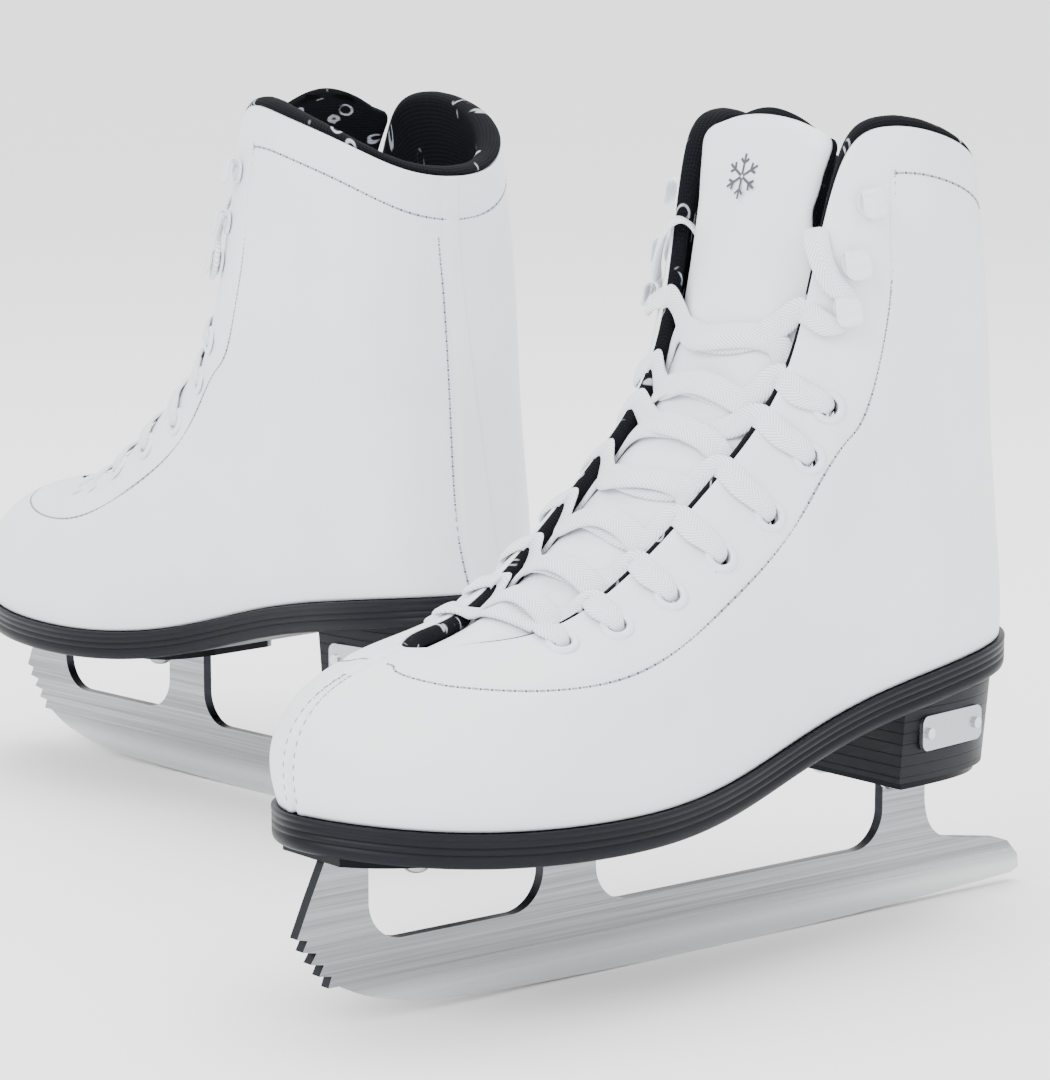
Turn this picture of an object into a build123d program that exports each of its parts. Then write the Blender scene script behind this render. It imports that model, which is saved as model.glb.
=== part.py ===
from build123d import *
import math
import os
import numpy as np

# A pair of white figure skates standing on the ice, +Z up, millimetres.
# Each skate is modelled toe towards +X, its left side towards +Y, with the tip of the toe pick at
# x = 0 and the ice at z = 0. "Back" is the distance behind that tip. The left skate is built with
# its outer (lateral) side on +Y; the right skate is its mirror image, set down beside it.

# ---- driving dimensions ----
BLADE_LENGTH = 280.0          # tip of the toe pick to the tail
BLADE_THICK = 3.4
ROCKER_RADIUS = 2600.0        # long curve of the running edge
ROCKER_LOW = 150.0            # distance back to the lowest point of the edge
SOLE_THICK = 10.0
WELT = 1.8                    # how far the sole stands out past the upper
PLATE_THICK = 2.5             # steel plates under the sole and the heel
HEEL_BASE_Z = 46.5            # underside of the heel block
HEEL_BREAST = 200.0           # front face of the heel block
BOARD_THICK = 3.0             # insole board, and how far in from the feather line it stops
BOARD_INSET = 5.2
LEATHER = 1.8
STIFFENER = 1.2
PUFF_THICK = 0.8
LAYER_GAP = 0.25              # glue and cloth between the layers
FOAM = 3.3
LINING = 1.4
LINING_ROLL_FACING = 2.4      # lining showing past the facing edge
LINING_ROLL_COLLAR = 5.0      # lining showing above the collar edge
TONGUE_THICK = 4.0
TONGUE_LINING = 1.2
HINGE_Z = 204.0               # where the free top of the tongue starts to fold
FLAP_GAP = 0.5
EYELET_HOLE = 2.7
EYELET_BARREL = 3.2
EYELET_FLANGE = 4.9
HOOK_RIVET = 1.6
LACE_WIDTH = 7.5
LACE_THICK = 1.2
LACE_CLEAR = 1.35             # height of the lace over an eyelet, and inside a hook
HOOK_CLEAR = 2.0
RIGHT_TIP = (-157.2, -388.0)  # toe pick of the right skate, seen from that of the left
RIGHT_YAW = -85.46            # degrees that the right skate is turned

# Height of the feather line (top of the sole) along the skate: (back, z).
FEATHER = [(-6, 62.6), (8, 60.8), (40, 58.2), (75, 57.3), (100, 58.0), (122, 60.6), (147, 66.4),
           (168, 72.2), (190, 77.2), (212, 81.0), (235, 84.2), (264, 87.0)]

# The upper is a net of stations from the toe seam round the side to the back seam. Each station is
# (back, half width, height) at five levels: feather line, lower swell, middle, upper, top edge.
# The height of the first level is the feather line's own.
STATIONS = [
    [(0.8, 0), (-1, 0, 72), (1.5, 0, 84), (14, 0, 95), (38, 0, 102.5)],
    [(6.5, 16), (4.5, 16.5, 73), (9, 15, 86), (21, 11, 96.5), (43, 7.5, 103)],
    [(23, 33), (20.5, 35, 73), (25, 31, 87), (38, 22, 98), (53, 13.5, 103.8)],
    [(50, 44), (48, 47, 72), (52, 42.5, 87), (62, 30.5, 99.5), (71, 19.5, 106)],
    [(84, 46.5), (83, 49, 72), (85, 46.5, 89), (91, 37, 106), (96, 24.5, 118.5)],
    [(114, 42.5), (114, 46, 75), (116, 45.5, 96), (120, 38.5, 121), (125, 27, 141.5)],
    [(142, 37), (143, 42, 83), (144, 44, 108), (147, 39.5, 139), (150, 29, 169)],
    [(166, 34), (166, 39.5, 92), (164.5, 43, 124), (162.5, 41, 165), (161, 31, 205)],
    [(184, 33), (183, 38, 95.5), (179, 42, 130), (173, 42.5, 178), (168.5, 34, 232)],
    [(200, 32.8), (198, 37, 98), (193.5, 41, 137), (187, 43, 188), (180, 38.5, 240.5)],
    [(222, 31.5), (220, 35, 100), (214, 37.5, 140), (207, 41.5, 189), (199, 42, 238)],
    [(244, 24.5), (241.5, 27.5, 103), (234.5, 30, 143), (227, 34, 189), (221, 34, 229.5)],
    [(255, 13), (250.5, 14.5, 104), (243, 16.5, 145), (235.5, 19, 189), (232.5, 20, 221.5)],
    [(258.5, 0), (253.5, 0, 104), (245.5, 0, 145), (238, 0, 189), (236.5, 0, 218.5)],
]
# The inner (medial) side is a little slimmer at the ball and hollowed at the arch.
MEDIAL = [1, 0.99, 0.98, 0.97, 0.96, 0.93, 0.91, 0.93, 0.95, 0.97, 1, 1, 1, 1]
BACKSTAY = 11.55              # station where the side panel meets the backstay

# Eyelets and hooks as (station, level) on the upper, from the bottom of the facing to the top.
EYELETS = [(3.2, 3.42), (3.78, 3.3), (4.38, 3.2), (4.98, 3.14), (5.6, 3.12), (6.25, 3.12), (6.72, 3.14)]
HOOKS = [(7.42, 3.4), (7.8, 3.52), (8.35, 3.68)]
BELOW_HOOK = (6.78, 3.44)      # where the lace runs in under the lowest hook

# Middle of the tongue: (back, z), from under the vamp to the fold line, with the station beside it.
TONGUE = [(1.2, 36, 94.5), (2.0, 53, 99.5), (3.0, 70, 106.5), (4.0, 93, 120), (5.0, 122, 142.5),
          (6.0, 145.5, 170), (6.88, 155.0, 201)]
# Free top of the tongue: (z, back at the middle, half width, set-back of its edges).
FLAP = [(HINGE_Z + FLAP_GAP, 155.7, 23.5, 5.0), (218, 160, 24.5, 4.5), (232, 164, 26.5, 3.5),
        (244, 167.5, 28.5, 2.0)]


# ---- curves and the net of the upper ----
def spline_weights(knots, t, order=0):
    """Weights on the knots' values of a natural cubic spline, or of its slope, at the points t."""
    n = len(knots)
    h = np.diff(knots)
    lhs = np.eye(n)
    rhs = np.zeros((n, n))
    for i in range(1, n - 1):
        lhs[i, i - 1:i + 2] = [h[i - 1], 2 * (h[i - 1] + h[i]), h[i]]
        rhs[i, i - 1:i + 2] = [6 / h[i - 1], -6 / h[i - 1] - 6 / h[i], 6 / h[i]]
    bend = np.linalg.solve(lhs, rhs)
    t = np.atleast_1d(np.asarray(t, float))
    k = np.clip(np.searchsorted(knots, t, side="right") - 1, 0, n - 2)
    hk = h[k][:, None]
    a = (np.asarray(knots)[k + 1][:, None] - t[:, None]) / hk
    b = 1 - a
    one = np.eye(n)
    if order == 0:
        return a * one[k] + b * one[k + 1] + ((a**3 - a) * bend[k] + (b**3 - b) * bend[k + 1]) * hk**2 / 6
    return (one[k + 1] - one[k]) / hk + ((1 - 3 * a**2) * bend[k] + (3 * b**2 - 1) * bend[k + 1]) * hk / 6


def curve(points, t):
    """Smooth curve through hand-chosen (position, value, ...) rows."""
    rows = np.asarray(points, float)
    return spline_weights(rows[:, 0], t) @ rows[:, 1:]


def feather_z(back):
    return float(curve(FEATHER, back)[0, 0])


def ease(t, start, end):
    """0 before start, 1 after end, smooth between them."""
    x = np.clip((np.asarray(t, float) - start) / (end - start), 0, 1)
    return x * x * (3 - 2 * x)


def make_net(side):
    """Net of the upper for the outer (+1) or inner (-1) side, mirrored past both seams."""
    net = np.zeros((len(STATIONS), 5, 3))
    for i, station in enumerate(STATIONS):
        slim = 1.0 if side > 0 else MEDIAL[i]
        for j, point in enumerate(station):
            z = point[2] if len(point) == 3 else feather_z(point[0])
            net[i, j] = (-point[0], point[1] * (slim if j < 3 else 1), z)
    flip = np.array([1, -1, 1])
    net = np.concatenate([net[2:0:-1] * flip, net, net[-2:-4:-1] * flip])
    steps = np.linalg.norm(np.diff(net[:, 2], axis=0), axis=1)
    knots = np.concatenate([[0], np.cumsum(steps)])
    return net * np.array([1, side, 1]), knots


NETS = {side: make_net(side) for side in (1, -1)}


def upper(side, s, v, depth=0.0, roll=0.0):
    """Points of the upper at station s and level v, depth inside its outer face.

    roll carries the point on past the top edge, in line with the surface.
    """
    net, knots = NETS[side]
    s = np.atleast_1d(np.asarray(s, float))
    v = np.broadcast_to(np.asarray(v, float), s.shape)
    t = np.interp(s + 2, np.arange(len(knots)), knots)
    levels = np.arange(5.0)
    ws, ds = spline_weights(knots, t), spline_weights(knots, t, 1)
    wv, dv = spline_weights(levels, v), spline_weights(levels, v, 1)
    point = np.einsum("ni,nj,ijk->nk", ws, wv, net)
    along = np.einsum("ni,nj,ijk->nk", ds, wv, net)
    up = np.einsum("ni,nj,ijk->nk", ws, dv, net)
    normal = np.cross(along, up) * side
    normal /= np.linalg.norm(normal, axis=1)[:, None]
    up /= np.linalg.norm(up, axis=1)[:, None]
    # Between stations the lowest level is drawn onto the feather line exactly.
    foot = np.einsum("ni,ik->nk", ws, net[:, 0])
    point[:, 2] += (curve(FEATHER, -foot[:, 0])[:, 0] - foot[:, 2]) * np.clip(1 - v, 0, 1) ** 2
    return point - np.asarray(depth).reshape(-1, 1) * normal + np.asarray(roll).reshape(-1, 1) * up


def outward(side, s, v):
    """Unit vector pointing straight out of the upper."""
    return (upper(side, s, v, -1.0) - upper(side, s, v))[0]


# ---- solids from nets of points ----
def skin(grid):
    return Face.make_surface_from_array_of_points([[Vector(*p) for p in row] for row in grid],
                                                  tol=0.01, min_deg=3, max_deg=3)


def slab(front, back):
    """Closed solid between two nets of points with the same layout."""
    outer, inner = skin(front), skin(back)
    sides = []
    for edge in outer.edges():
        mate = min(inner.edges(), key=lambda e: ((e @ 0.5) - (edge @ 0.5)).length)
        sides.append(Face.make_surface_from_curves(edge, mate))
    solid = Solid(Shell([outer, inner] + sides))
    return solid if solid.volume > 0 else Solid(solid.wrapped.Reversed())


def along_side(side, start, end, count):
    """Stations down one side, as (side, station)."""
    return [(side, s) for s in np.linspace(start, end, count)]


def across_seam(seam, far, count):
    """Stations from the inner side, over the seam at the toe or the back, to the outer side."""
    inner = [(-1, s) for s in np.linspace(far, seam, count)]
    return inner + [(1, s) for s in np.linspace(seam, far, count)[1:]]


def panel(columns, v_low, v_high, depth_out, depth_in, roll=None, rows=13):
    """Layer of the upper over the given stations, between two level lines and two depths.

    Levels and depths may be functions of the station (and of the level, for a depth).
    """
    def value(f, *args):
        return f(*args) if callable(f) else f

    faces = []
    for depth in (depth_out, depth_in):
        grid = []
        for side, s in columns:
            low, high = float(value(v_low, s)), float(value(v_high, s))
            row = []
            for q in np.linspace(0, 1, rows):
                v = low + (high - low) * q
                past = 0.0 if roll is None or q < 1 else float(value(roll, s))
                row.append(upper(side, s, v, float(value(depth, s, v)), past)[0])
            grid.append(row)
        faces.append(grid)
    return slab(*faces)


def footprint(grow, s_start=0.0, s_end=13.0, count=27):
    """Outline of the sole in plan, grown outwards from the feather line."""
    loops = []
    for side in (1, -1):
        s = np.linspace(s_start, s_end, count)
        p = upper(side, s, 0.0)[:, :2]
        d = upper(side, np.minimum(s + 0.02, 13), 0.0)[:, :2] - upper(side, np.maximum(s - 0.02, 0), 0.0)[:, :2]
        normal = np.stack([d[:, 1], -d[:, 0]], axis=1) * side
        normal /= np.linalg.norm(normal, axis=1)[:, None]
        normal[s == 0] = (1, 0)
        normal[s == 13] = (-1, 0)
        loops.append(p + normal * grow)
    return loops


def outline_face(grow):
    """Whole footprint as a flat face."""
    outer, inner = footprint(grow)
    a = Spline(*[tuple(p) for p in outer], tangents=[(0, 1), (0, -1)])
    b = Spline(*[tuple(p) for p in inner], tangents=[(0, -1), (0, 1)])
    return make_face([a, b])


def band(top, bottom, back_from, back_to, half_width=70.0):
    """Slice under the foot between two heights measured down from the feather line."""
    backs = np.linspace(back_from, back_to, 16)
    upper_line = [(-b, feather_z(b) - top) for b in backs]
    lower_line = [(-b, feather_z(b) - bottom) for b in backs[::-1]]
    a, c = Spline(*upper_line), Spline(*lower_line)
    face = Plane.XZ * make_face([a, Line(a @ 1, c @ 0), c, Line(c @ 1, a @ 0)])
    return extrude(face, half_width, both=True)


def prism(face, z_low, z_high):
    return extrude(Plane.XY.offset(z_low) * face, z_high - z_low, dir=(0, 0, 1))


# ---- blade and plates ----
def edge_z(back):
    return (back - ROCKER_LOW) ** 2 / (2 * ROCKER_RADIUS)


def plate_z(back):
    """Underside of the sole plate."""
    return feather_z(back) - SOLE_THICK - PLATE_THICK


def blade_top(back):
    """Top of the blade, brazed under the sole plate."""
    return plate_z(back) - 0.1


def window(left, right, low, corner):
    """Opening in the blade, square-topped and round at its lower corners."""
    shape = Rectangle(right - left, 60.0, align=(Align.MIN, Align.MIN))
    shape = fillet(shape.vertices().group_by(Axis.Y)[0], corner)
    return Pos(-right, low) * shape


def blade():
    p = [(-b, z) for b, z in [
        (9.6, blade_top(9.6)), (4.6, 37.5), (0.0, 27.2),
        (3.4, 26.4), (1.8, 23.4), (6.4, 22.5), (4.4, 19.6), (8.8, 18.8),
        (7.2, 15.8), (11.4, 15.2), (10.2, 12.0), (14.2, 12.0)]]
    drag = [(14.2, 12.0), (22, 8.1), (34, 4.7), (62, edge_z(62))]
    tail = [(279.6, 4.4), (279.2, 8.6), (274.5, 13.6), (270.0, 15.2), (248.5, 18.6)]
    front = Polyline(*p)
    slope = (62 - ROCKER_LOW) / ROCKER_RADIUS
    lead_in = Spline(*[(-b, z) for b, z in drag], tangents=[(-0.85, -0.5), (-1, slope)])
    run = ThreePointArc((-62, edge_z(62)), (-ROCKER_LOW, 0), (-276.5, edge_z(276.5)))
    end = Polyline(run @ 1, *[(-b, z) for b, z in tail])
    sweep_up = Spline((-248.5, 18.6), (-240.5, 23.0), (-237.4, 33.0), tangents=[(1, 0.16), (0.05, 1)])
    post = Line((-237.4, 33.0), (-237.4, HEEL_BASE_Z - PLATE_THICK))
    top = Polyline((-237.4, HEEL_BASE_Z - PLATE_THICK), (-212.0, HEEL_BASE_Z - PLATE_THICK),
                   (-212.0, 30.0), (-150.0, 30.0), (-120.0, 30.0), (-120.0, blade_top(112)),
                   *[(-b, blade_top(b)) for b in range(112, 9, -6)], (-9.6, blade_top(9.6)))
    face = make_face([front, lead_in, run, end, sweep_up, post, top])
    face -= window(24.0, 85.5, 22.2, 11.5)
    face -= window(105.0, 219.3, 20.2, 11.5)
    return extrude(Plane.XZ * face, BLADE_THICK / 2, both=True)


def sole_plate():
    lobes = [(-6, 13), (-30, 21), (-62, 22), (-88, 23), (-112, 22), (-124, 12)]
    outer = Spline(*lobes)
    inner = Spline(*[(x, -y) for x, y in lobes[::-1]])
    face = make_face([outer, Line(outer @ 1, inner @ 0), inner, Line(inner @ 1, outer @ 0)])
    return prism(face, 30, 80) & band(SOLE_THICK + 0.1, SOLE_THICK + PLATE_THICK, -4, 135)


def heel_outline(inset):
    """Bottom outline of the heel: flat breast, then round the back of the foot."""
    outer, inner = footprint(-inset, 8.0, 13.0, 15)
    a = Spline(*[tuple(p) for p in outer], tangents=[(-1, 0), (0, -1)])
    b = Spline(*[tuple(p) for p in inner[::-1]], tangents=[(0, -1), (1, 0)])
    return make_face([a, b, Line(b @ 1, a @ 0)])


def heel_plate():
    face = heel_outline(7.0) & Pos(-HEEL_BREAST - 3, 0) * Rectangle(60, 80, align=(Align.MAX, Align.CENTER))
    return prism(face, HEEL_BASE_Z - PLATE_THICK, HEEL_BASE_Z)


def dome_rivets(spots, base):
    """Dome-headed rivets, heads down, on a plate whose underside is base(back)."""
    head = revolve(Plane.XZ * make_face([Line((0, 0), (0, -2.2)), ThreePointArc((0, -2.2), (2.9, -1.5), (4.2, 0)),
                                         Line((4.2, 0), (0, 0))]), Axis.Z)
    return [Pos(-b, y, base(b) - 0.3) * head for b, y in spots]


SOLE_RIVETS = [(30, 15), (30, -15), (62, 16), (62, -16), (100, 17), (100, -17)]
HEEL_RIVETS = [(210, 15), (210, -15), (239, 13), (239, -13)]


# ---- sole and heel ----
def outsole():
    return prism(outline_face(WELT), 30, 110) & band(0.3, SOLE_THICK, -12, 272)


BADGE_LENGTH, BADGE_HEIGHT, BADGE_THICK = 29.0, 10.5, 1.4
BADGE_BACK, BADGE_Z = 221.0, 61.0
PIN_SPREAD = 11.5


def badge_plane(side):
    """Flat of the badge on the side of the heel block."""
    at = upper(side, 10.0, 0.0)[0]
    along = upper(side, 10.4, 0.0)[0] - upper(side, 9.6, 0.0)[0]
    along[2] = 0
    normal = np.array([-along[1], along[0], 0]) / np.linalg.norm(along)
    normal *= np.sign(normal[1]) * side
    y = at[1] - normal[1] * 4.0
    return Plane((-BADGE_BACK, y, BADGE_Z), x_dir=tuple(-along / np.linalg.norm(along)), z_dir=tuple(normal))


def badge(side):
    shape = RectangleRounded(BADGE_LENGTH, BADGE_HEIGHT, 2.5)
    return extrude(badge_plane(side) * shape, BADGE_THICK)


def badge_pins(side):
    plane = badge_plane(side)
    return [plane * Pos(dx, 0, BADGE_THICK + 0.5) * Cylinder(1.7, 1.0) for dx in (-PIN_SPREAD, PIN_SPREAD)]


def heel_block():
    flare = Plane.XY.offset(HEEL_BASE_Z) * heel_outline(4.6) + Plane.XY.offset(90) * heel_outline(0.8)
    block = loft(flare.faces())
    block -= Pos(-HEEL_BREAST, 0, 60) * Box(60, 120, 120, align=(Align.MIN, Align.CENTER, Align.CENTER))
    block &= band(SOLE_THICK + 0.05, 60, 190, 272)
    for side in (1, -1):
        pocket = extrude(badge_plane(side) * RectangleRounded(BADGE_LENGTH + 0.1, BADGE_HEIGHT + 0.1, 2.5), 8)
        block -= pocket
    return block


def insole_board():
    return prism(outline_face(-BOARD_INSET), 30, 110) & band(-BOARD_THICK, -0.05, -4, 262)


def footbed():
    return prism(outline_face(-BOARD_INSET - LINING - 1.2), 30, 110) & band(-7.2, -BOARD_THICK - 0.1, 0, 260)


def shank():
    """Steel stiffener lying in a slot cut in the insole board, from the ball to the heel."""
    face = Pos(-110, 0) * SlotOverall(135, 14, rotation=0)
    face = Pos(-75, 0) * face
    return prism(face, 30, 110) & band(-2.0, -0.5, 90, 262)


# ---- layers of the upper ----
def stitch_level(s):
    """Lower edge of the eyestay: parallel to the facing, swinging to the toe seam at the front."""
    return curve([(0.4, 3.72), (1.5, 3.3), (2.6, 2.85), (4, 2.72), (5.5, 2.62), (7, 2.62), (8.2, 3.0),
                  (9.2, 3.35)], s)[0, 0]


STIFF_IN = LEATHER + LAYER_GAP + STIFFENER
LINING_OUT_VAMP = STIFF_IN + LAYER_GAP


def lining_out(s, v):
    """Depth of the lining's hidden face: it leaves room for foam round the ankle."""
    return LINING_OUT_VAMP + (FOAM + LAYER_GAP) * float(ease(s, 7.0, 8.6) * ease(v, 1.8, 2.6))


def lining_in(s, v):
    return lining_out(s, v) + LINING


def lining_roll(s):
    return LINING_ROLL_FACING + (LINING_ROLL_COLLAR - LINING_ROLL_FACING) * float(ease(s, 7.8, 9.2))


def eyelet_plane(side, s, v):
    normal = outward(side, s, v)
    return Plane(tuple(upper(side, s, v)[0]), z_dir=tuple(normal))


def pierce(solid, side):
    """Holes through the facing for the eyelets' barrels and the hooks' rivets."""
    for spots, radius in ((EYELETS, EYELET_BARREL + 0.1), (HOOKS, HOOK_RIVET + 0.1)):
        for s, v in spots:
            solid -= eyelet_plane(side, s, v) * Pos(0, 0, -1) * Cylinder(radius, 9.0)
    return solid


def quarter(side):
    solid = panel(along_side(side, 0.0, BACKSTAY - 0.03, 41), 0.0, 4.0, 0.0, LEATHER, rows=15)
    return pierce(solid, side)


def backstay():
    """Strip down the back, from seam to seam across the middle."""
    return panel(across_seam(13.0, BACKSTAY, 9), 0.0, 4.0, 0.0, LEATHER, rows=15)


def eyestay(side):
    solid = panel(along_side(side, 1.3, 9.2, 31), stitch_level, 3.97, LEATHER + LAYER_GAP, STIFF_IN, rows=7)
    return pierce(solid, side)


def toe_puff():
    return panel(across_seam(0.0, 3.2, 13), 0.03, lambda s: 2.6 - 1.0 * ease(s, 1.5, 3.2), LEATHER + LAYER_GAP,
                 LEATHER + LAYER_GAP + PUFF_THICK, rows=9)


def heel_counter():
    return panel(across_seam(13.0, 8.4, 15), 0.03, lambda s: 1.5 + 0.7 * ease(s, 8.4, 11.5),
                 LEATHER + LAYER_GAP, STIFF_IN, rows=9)


def collar_foam(side):
    return panel(along_side(side, 9.3, 13.0, 15), 2.75, 3.95, STIFF_IN + LAYER_GAP,
                 STIFF_IN + LAYER_GAP + FOAM - 0.1, rows=9)


def lining(side):
    return panel(along_side(side, 0.0, 13.0, 41), 0.3, 4.0, lining_out, lining_in, lining_roll, rows=15)


# ---- tongue ----
def tongue_rows(rows_at, inset):
    """Net across the lower tongue: tucked edge, gap edge, middle, and the same on the other side."""
    grid = []
    rows = np.asarray(TONGUE, float)
    for q in rows_at:
        s, back, z = (np.interp(q, range(len(rows)), rows[:, 0]), *curve(
            [(i, r[1], r[2]) for i, r in enumerate(TONGUE)], q)[0])
        clear = 1.2 + LINING_OUT_VAMP + LINING + (FOAM + LAYER_GAP) * float(ease(s, 6.3, 7.6)) * 0.6
        points = []
        for side in (1, -1):
            tucked = upper(side, s, 3.62, clear + 0.6)[0]
            edge = upper(side, s, 3.98, clear)[0]
            points.append([tucked, edge])
        middle = np.array([-back, 0.0, z])
        row = np.array([points[0][0], points[0][1], middle, points[1][1], points[1][0]])
        grid.append(spline_weights(np.array([-2, -1.35, 0, 1.35, 2]), np.linspace(-2, 2, 11)) @ row)
    grid = np.array(grid)
    down = np.cross(np.gradient(grid, axis=0), np.gradient(grid, axis=1))
    down /= np.linalg.norm(down, axis=2)[:, :, None]
    if down[3, 5, 2] > 0:
        down = -down
    return grid + down * inset


def tongue_layer(depth_out, depth_in):
    q = np.linspace(0, len(TONGUE) - 1, 15)
    return slab(tongue_rows(q, depth_out), tongue_rows(q, depth_in))


def flap_layer(depth_out, depth_in):
    faces = []
    for depth in (depth_out, depth_in):
        grid = []
        for z in np.linspace(FLAP[0][0], FLAP[-1][0], 9):
            back, half, set_back = curve(FLAP, z)[0]
            grid.append([(-(back + set_back * w * w + depth), half * w * (1 - 0.03 * w * w), z - 3.0 * w * w *
                          float(ease(z, 225, 244))) for w in np.linspace(-1, 1, 11)])
        faces.append(grid)
    return slab(*faces)


# ---- fittings on the facing ----
def eyelet_ring():
    flange = revolve(Plane.XZ * make_face([
        Line((EYELET_HOLE, 0.15), (EYELET_HOLE, 0.8)),
        ThreePointArc((EYELET_HOLE, 0.8), (3.7, 1.25), (EYELET_FLANGE, 0.15)),
        Line((EYELET_FLANGE, 0.15), (EYELET_HOLE, 0.15))]), Axis.Z)
    barrel = Pos(0, 0, -1.4) * (Cylinder(EYELET_BARREL, 3.4) - Cylinder(EYELET_HOLE, 3.5))
    return flange + barrel


def hook():
    """Speed-lacing hook: riveted foot, neck, and a lip that turns back over the lace."""
    foot = Pos(0, 0, 0.6) * extrude(RectangleRounded(9.0, 7.5, 3.0), 1.0)
    neck = Pos(-2.6, 0, 1.5) * extrude(RectangleRounded(2.4, 6.0, 1.0), 3.2)
    lip = Pos(0.6, 0, 4.6) * extrude(RectangleRounded(8.8, 7.5, 3.4), 1.5)
    post = Pos(0, 0, -1.0) * Cylinder(HOOK_RIVET, 4.2)
    return foot + neck + lip + post


def fitting_plane(side, s, v):
    """Plane on the upper whose X points away from the facing edge."""
    normal = outward(side, s, v)
    away = upper(side, s, v - 0.1)[0] - upper(side, s, v)[0]
    return Plane(tuple(upper(side, s, v)[0] + normal * 0.05), x_dir=tuple(away), z_dir=tuple(normal))


def eyelets():
    return [eyelet_plane(side, s, v) * eyelet_ring() for side in (1, -1) for s, v in EYELETS]


def hooks():
    return [fitting_plane(side, s, v) * hook() for side in (1, -1) for s, v in HOOKS]


# ---- lace ----
def tongue_middle(s):
    rows = np.asarray(TONGUE, float)
    q = np.interp(s, rows[:, 0], range(len(rows)))
    back, z = curve([(i, r[1], r[2]) for i, r in enumerate(TONGUE)], q)[0]
    return np.array([-back, 0.0, z])


def strap(points, normals, width=LACE_WIDTH, thick=LACE_THICK):
    """Flat band along a few points, its flat side facing the given directions."""
    t = np.linspace(0, len(points) - 1, 3 * len(points))
    path = spline_weights(np.arange(len(points), dtype=float), t) @ np.asarray(points)
    face = spline_weights(np.arange(len(points), dtype=float), t) @ np.asarray(normals)
    run = np.gradient(path, axis=0)
    across = np.cross(run, face)
    across /= np.linalg.norm(across, axis=1)[:, None]
    face = np.cross(across, run)
    face /= np.linalg.norm(face, axis=1)[:, None]
    nets = []
    for lift in (0.0, thick):
        nets.append([[p + a * w + n * lift for w in np.linspace(-width / 2, width / 2, 4)]
                     for p, a, n in zip(path, across, face)])
    return slab(*nets)


def crossing(low, high, side, lift):
    """Lace from a low eyelet on one side, over the tongue, to a high one on the other."""
    (s0, v0), (s1, v1) = low, high
    middle_s = (s0 + s1) / 2
    out = (outward(1, middle_s, 3.9) + outward(-1, middle_s, 3.9))
    out /= np.linalg.norm(out)
    n0, n1 = outward(side, s0, v0), outward(-side, s1, v1)
    e0, e1 = s0 + (s1 - s0) * 0.25, s0 + (s1 - s0) * 0.75
    points = [upper(side, s0, v0)[0] + n0 * LACE_CLEAR,
              upper(side, e0, 3.95)[0] + outward(side, e0, 3.95) * 2.0,
              tongue_middle(middle_s) + out * (2.0 + lift),
              upper(-side, e1, 3.95)[0] + outward(-side, e1, 3.95) * 2.0,
              upper(-side, s1, v1)[0] + n1 * (LACE_CLEAR if high in EYELETS else HOOK_CLEAR)]
    return strap(points, [n0, n0 + out, out, n1 + out, n1])


def lace_solids():
    spots = EYELETS + [BELOW_HOOK]
    bands = [crossing(spots[0], spots[0], 1, 0.0)]
    for low, high in zip(spots[:-1], spots[1:]):
        for side in (1, -1):
            bands.append(crossing(low, high, side, 1.8 if side > 0 else 0.0))
    return bands


def lace_tips():
    """Metal tips of the lace ends, tucked between the facing and the tongue."""
    tips = []
    for side in (1, -1):
        tip = upper(side, 7.0, 3.05, lining_in(7.0, 3.05) + 3.8)[0]
        tips.append(Pos(*tip) * Rot(0, 12, 0) * Cylinder(1.3, 18))
    return tips


# ---- assembly ----
def skate():
    """Every piece of the left skate in its own frame, by name."""
    pieces = {
        "blade": [blade()],
        "sole_plate": [sole_plate()],
        "heel_plate": [heel_plate()],
        "sole_plate_rivets": dome_rivets(SOLE_RIVETS, plate_z),
        "heel_plate_rivets": dome_rivets(HEEL_RIVETS, lambda b: HEEL_BASE_Z - PLATE_THICK),
        "outsole": [outsole()],
        "heel_block": [heel_block()],
        "heel_badges": [badge(1), badge(-1)],
        "badge_pins": badge_pins(1) + badge_pins(-1),
        "insole_board": [insole_board() - shank()],
        "shank": [shank()],
        "footbed": [footbed()],
        "outer_quarter": [quarter(1)],
        "inner_quarter": [quarter(-1)],
        "backstay": [backstay()],
        "outer_eyestay": [eyestay(1)],
        "inner_eyestay": [eyestay(-1)],
        "toe_puff": [toe_puff()],
        "heel_counter": [heel_counter()],
        "collar_foam": [collar_foam(1), collar_foam(-1)],
        "lining": [lining(1), lining(-1)],
        "tongue": [tongue_layer(0.0, TONGUE_THICK)],
        "tongue_lining": [tongue_layer(TONGUE_THICK + 0.1, TONGUE_THICK + TONGUE_LINING)],
        "tongue_flap": [flap_layer(0.0, TONGUE_THICK)],
        "flap_lining": [flap_layer(TONGUE_THICK + 0.1, TONGUE_THICK + TONGUE_LINING)],
        "eyelets": eyelets(),
        "hooks": hooks(),
        "lace": lace_solids(),
        "lace_tips": lace_tips(),
    }
    return pieces


def place(shape, mirrored):
    if not mirrored:
        return shape
    return Pos(*RIGHT_TIP, 0) * Rot(0, 0, RIGHT_YAW) * mirror(shape, about=Plane.XZ)


def solids_of(shapes):
    return [solid for shape in shapes for solid in shape.solids()]


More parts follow.
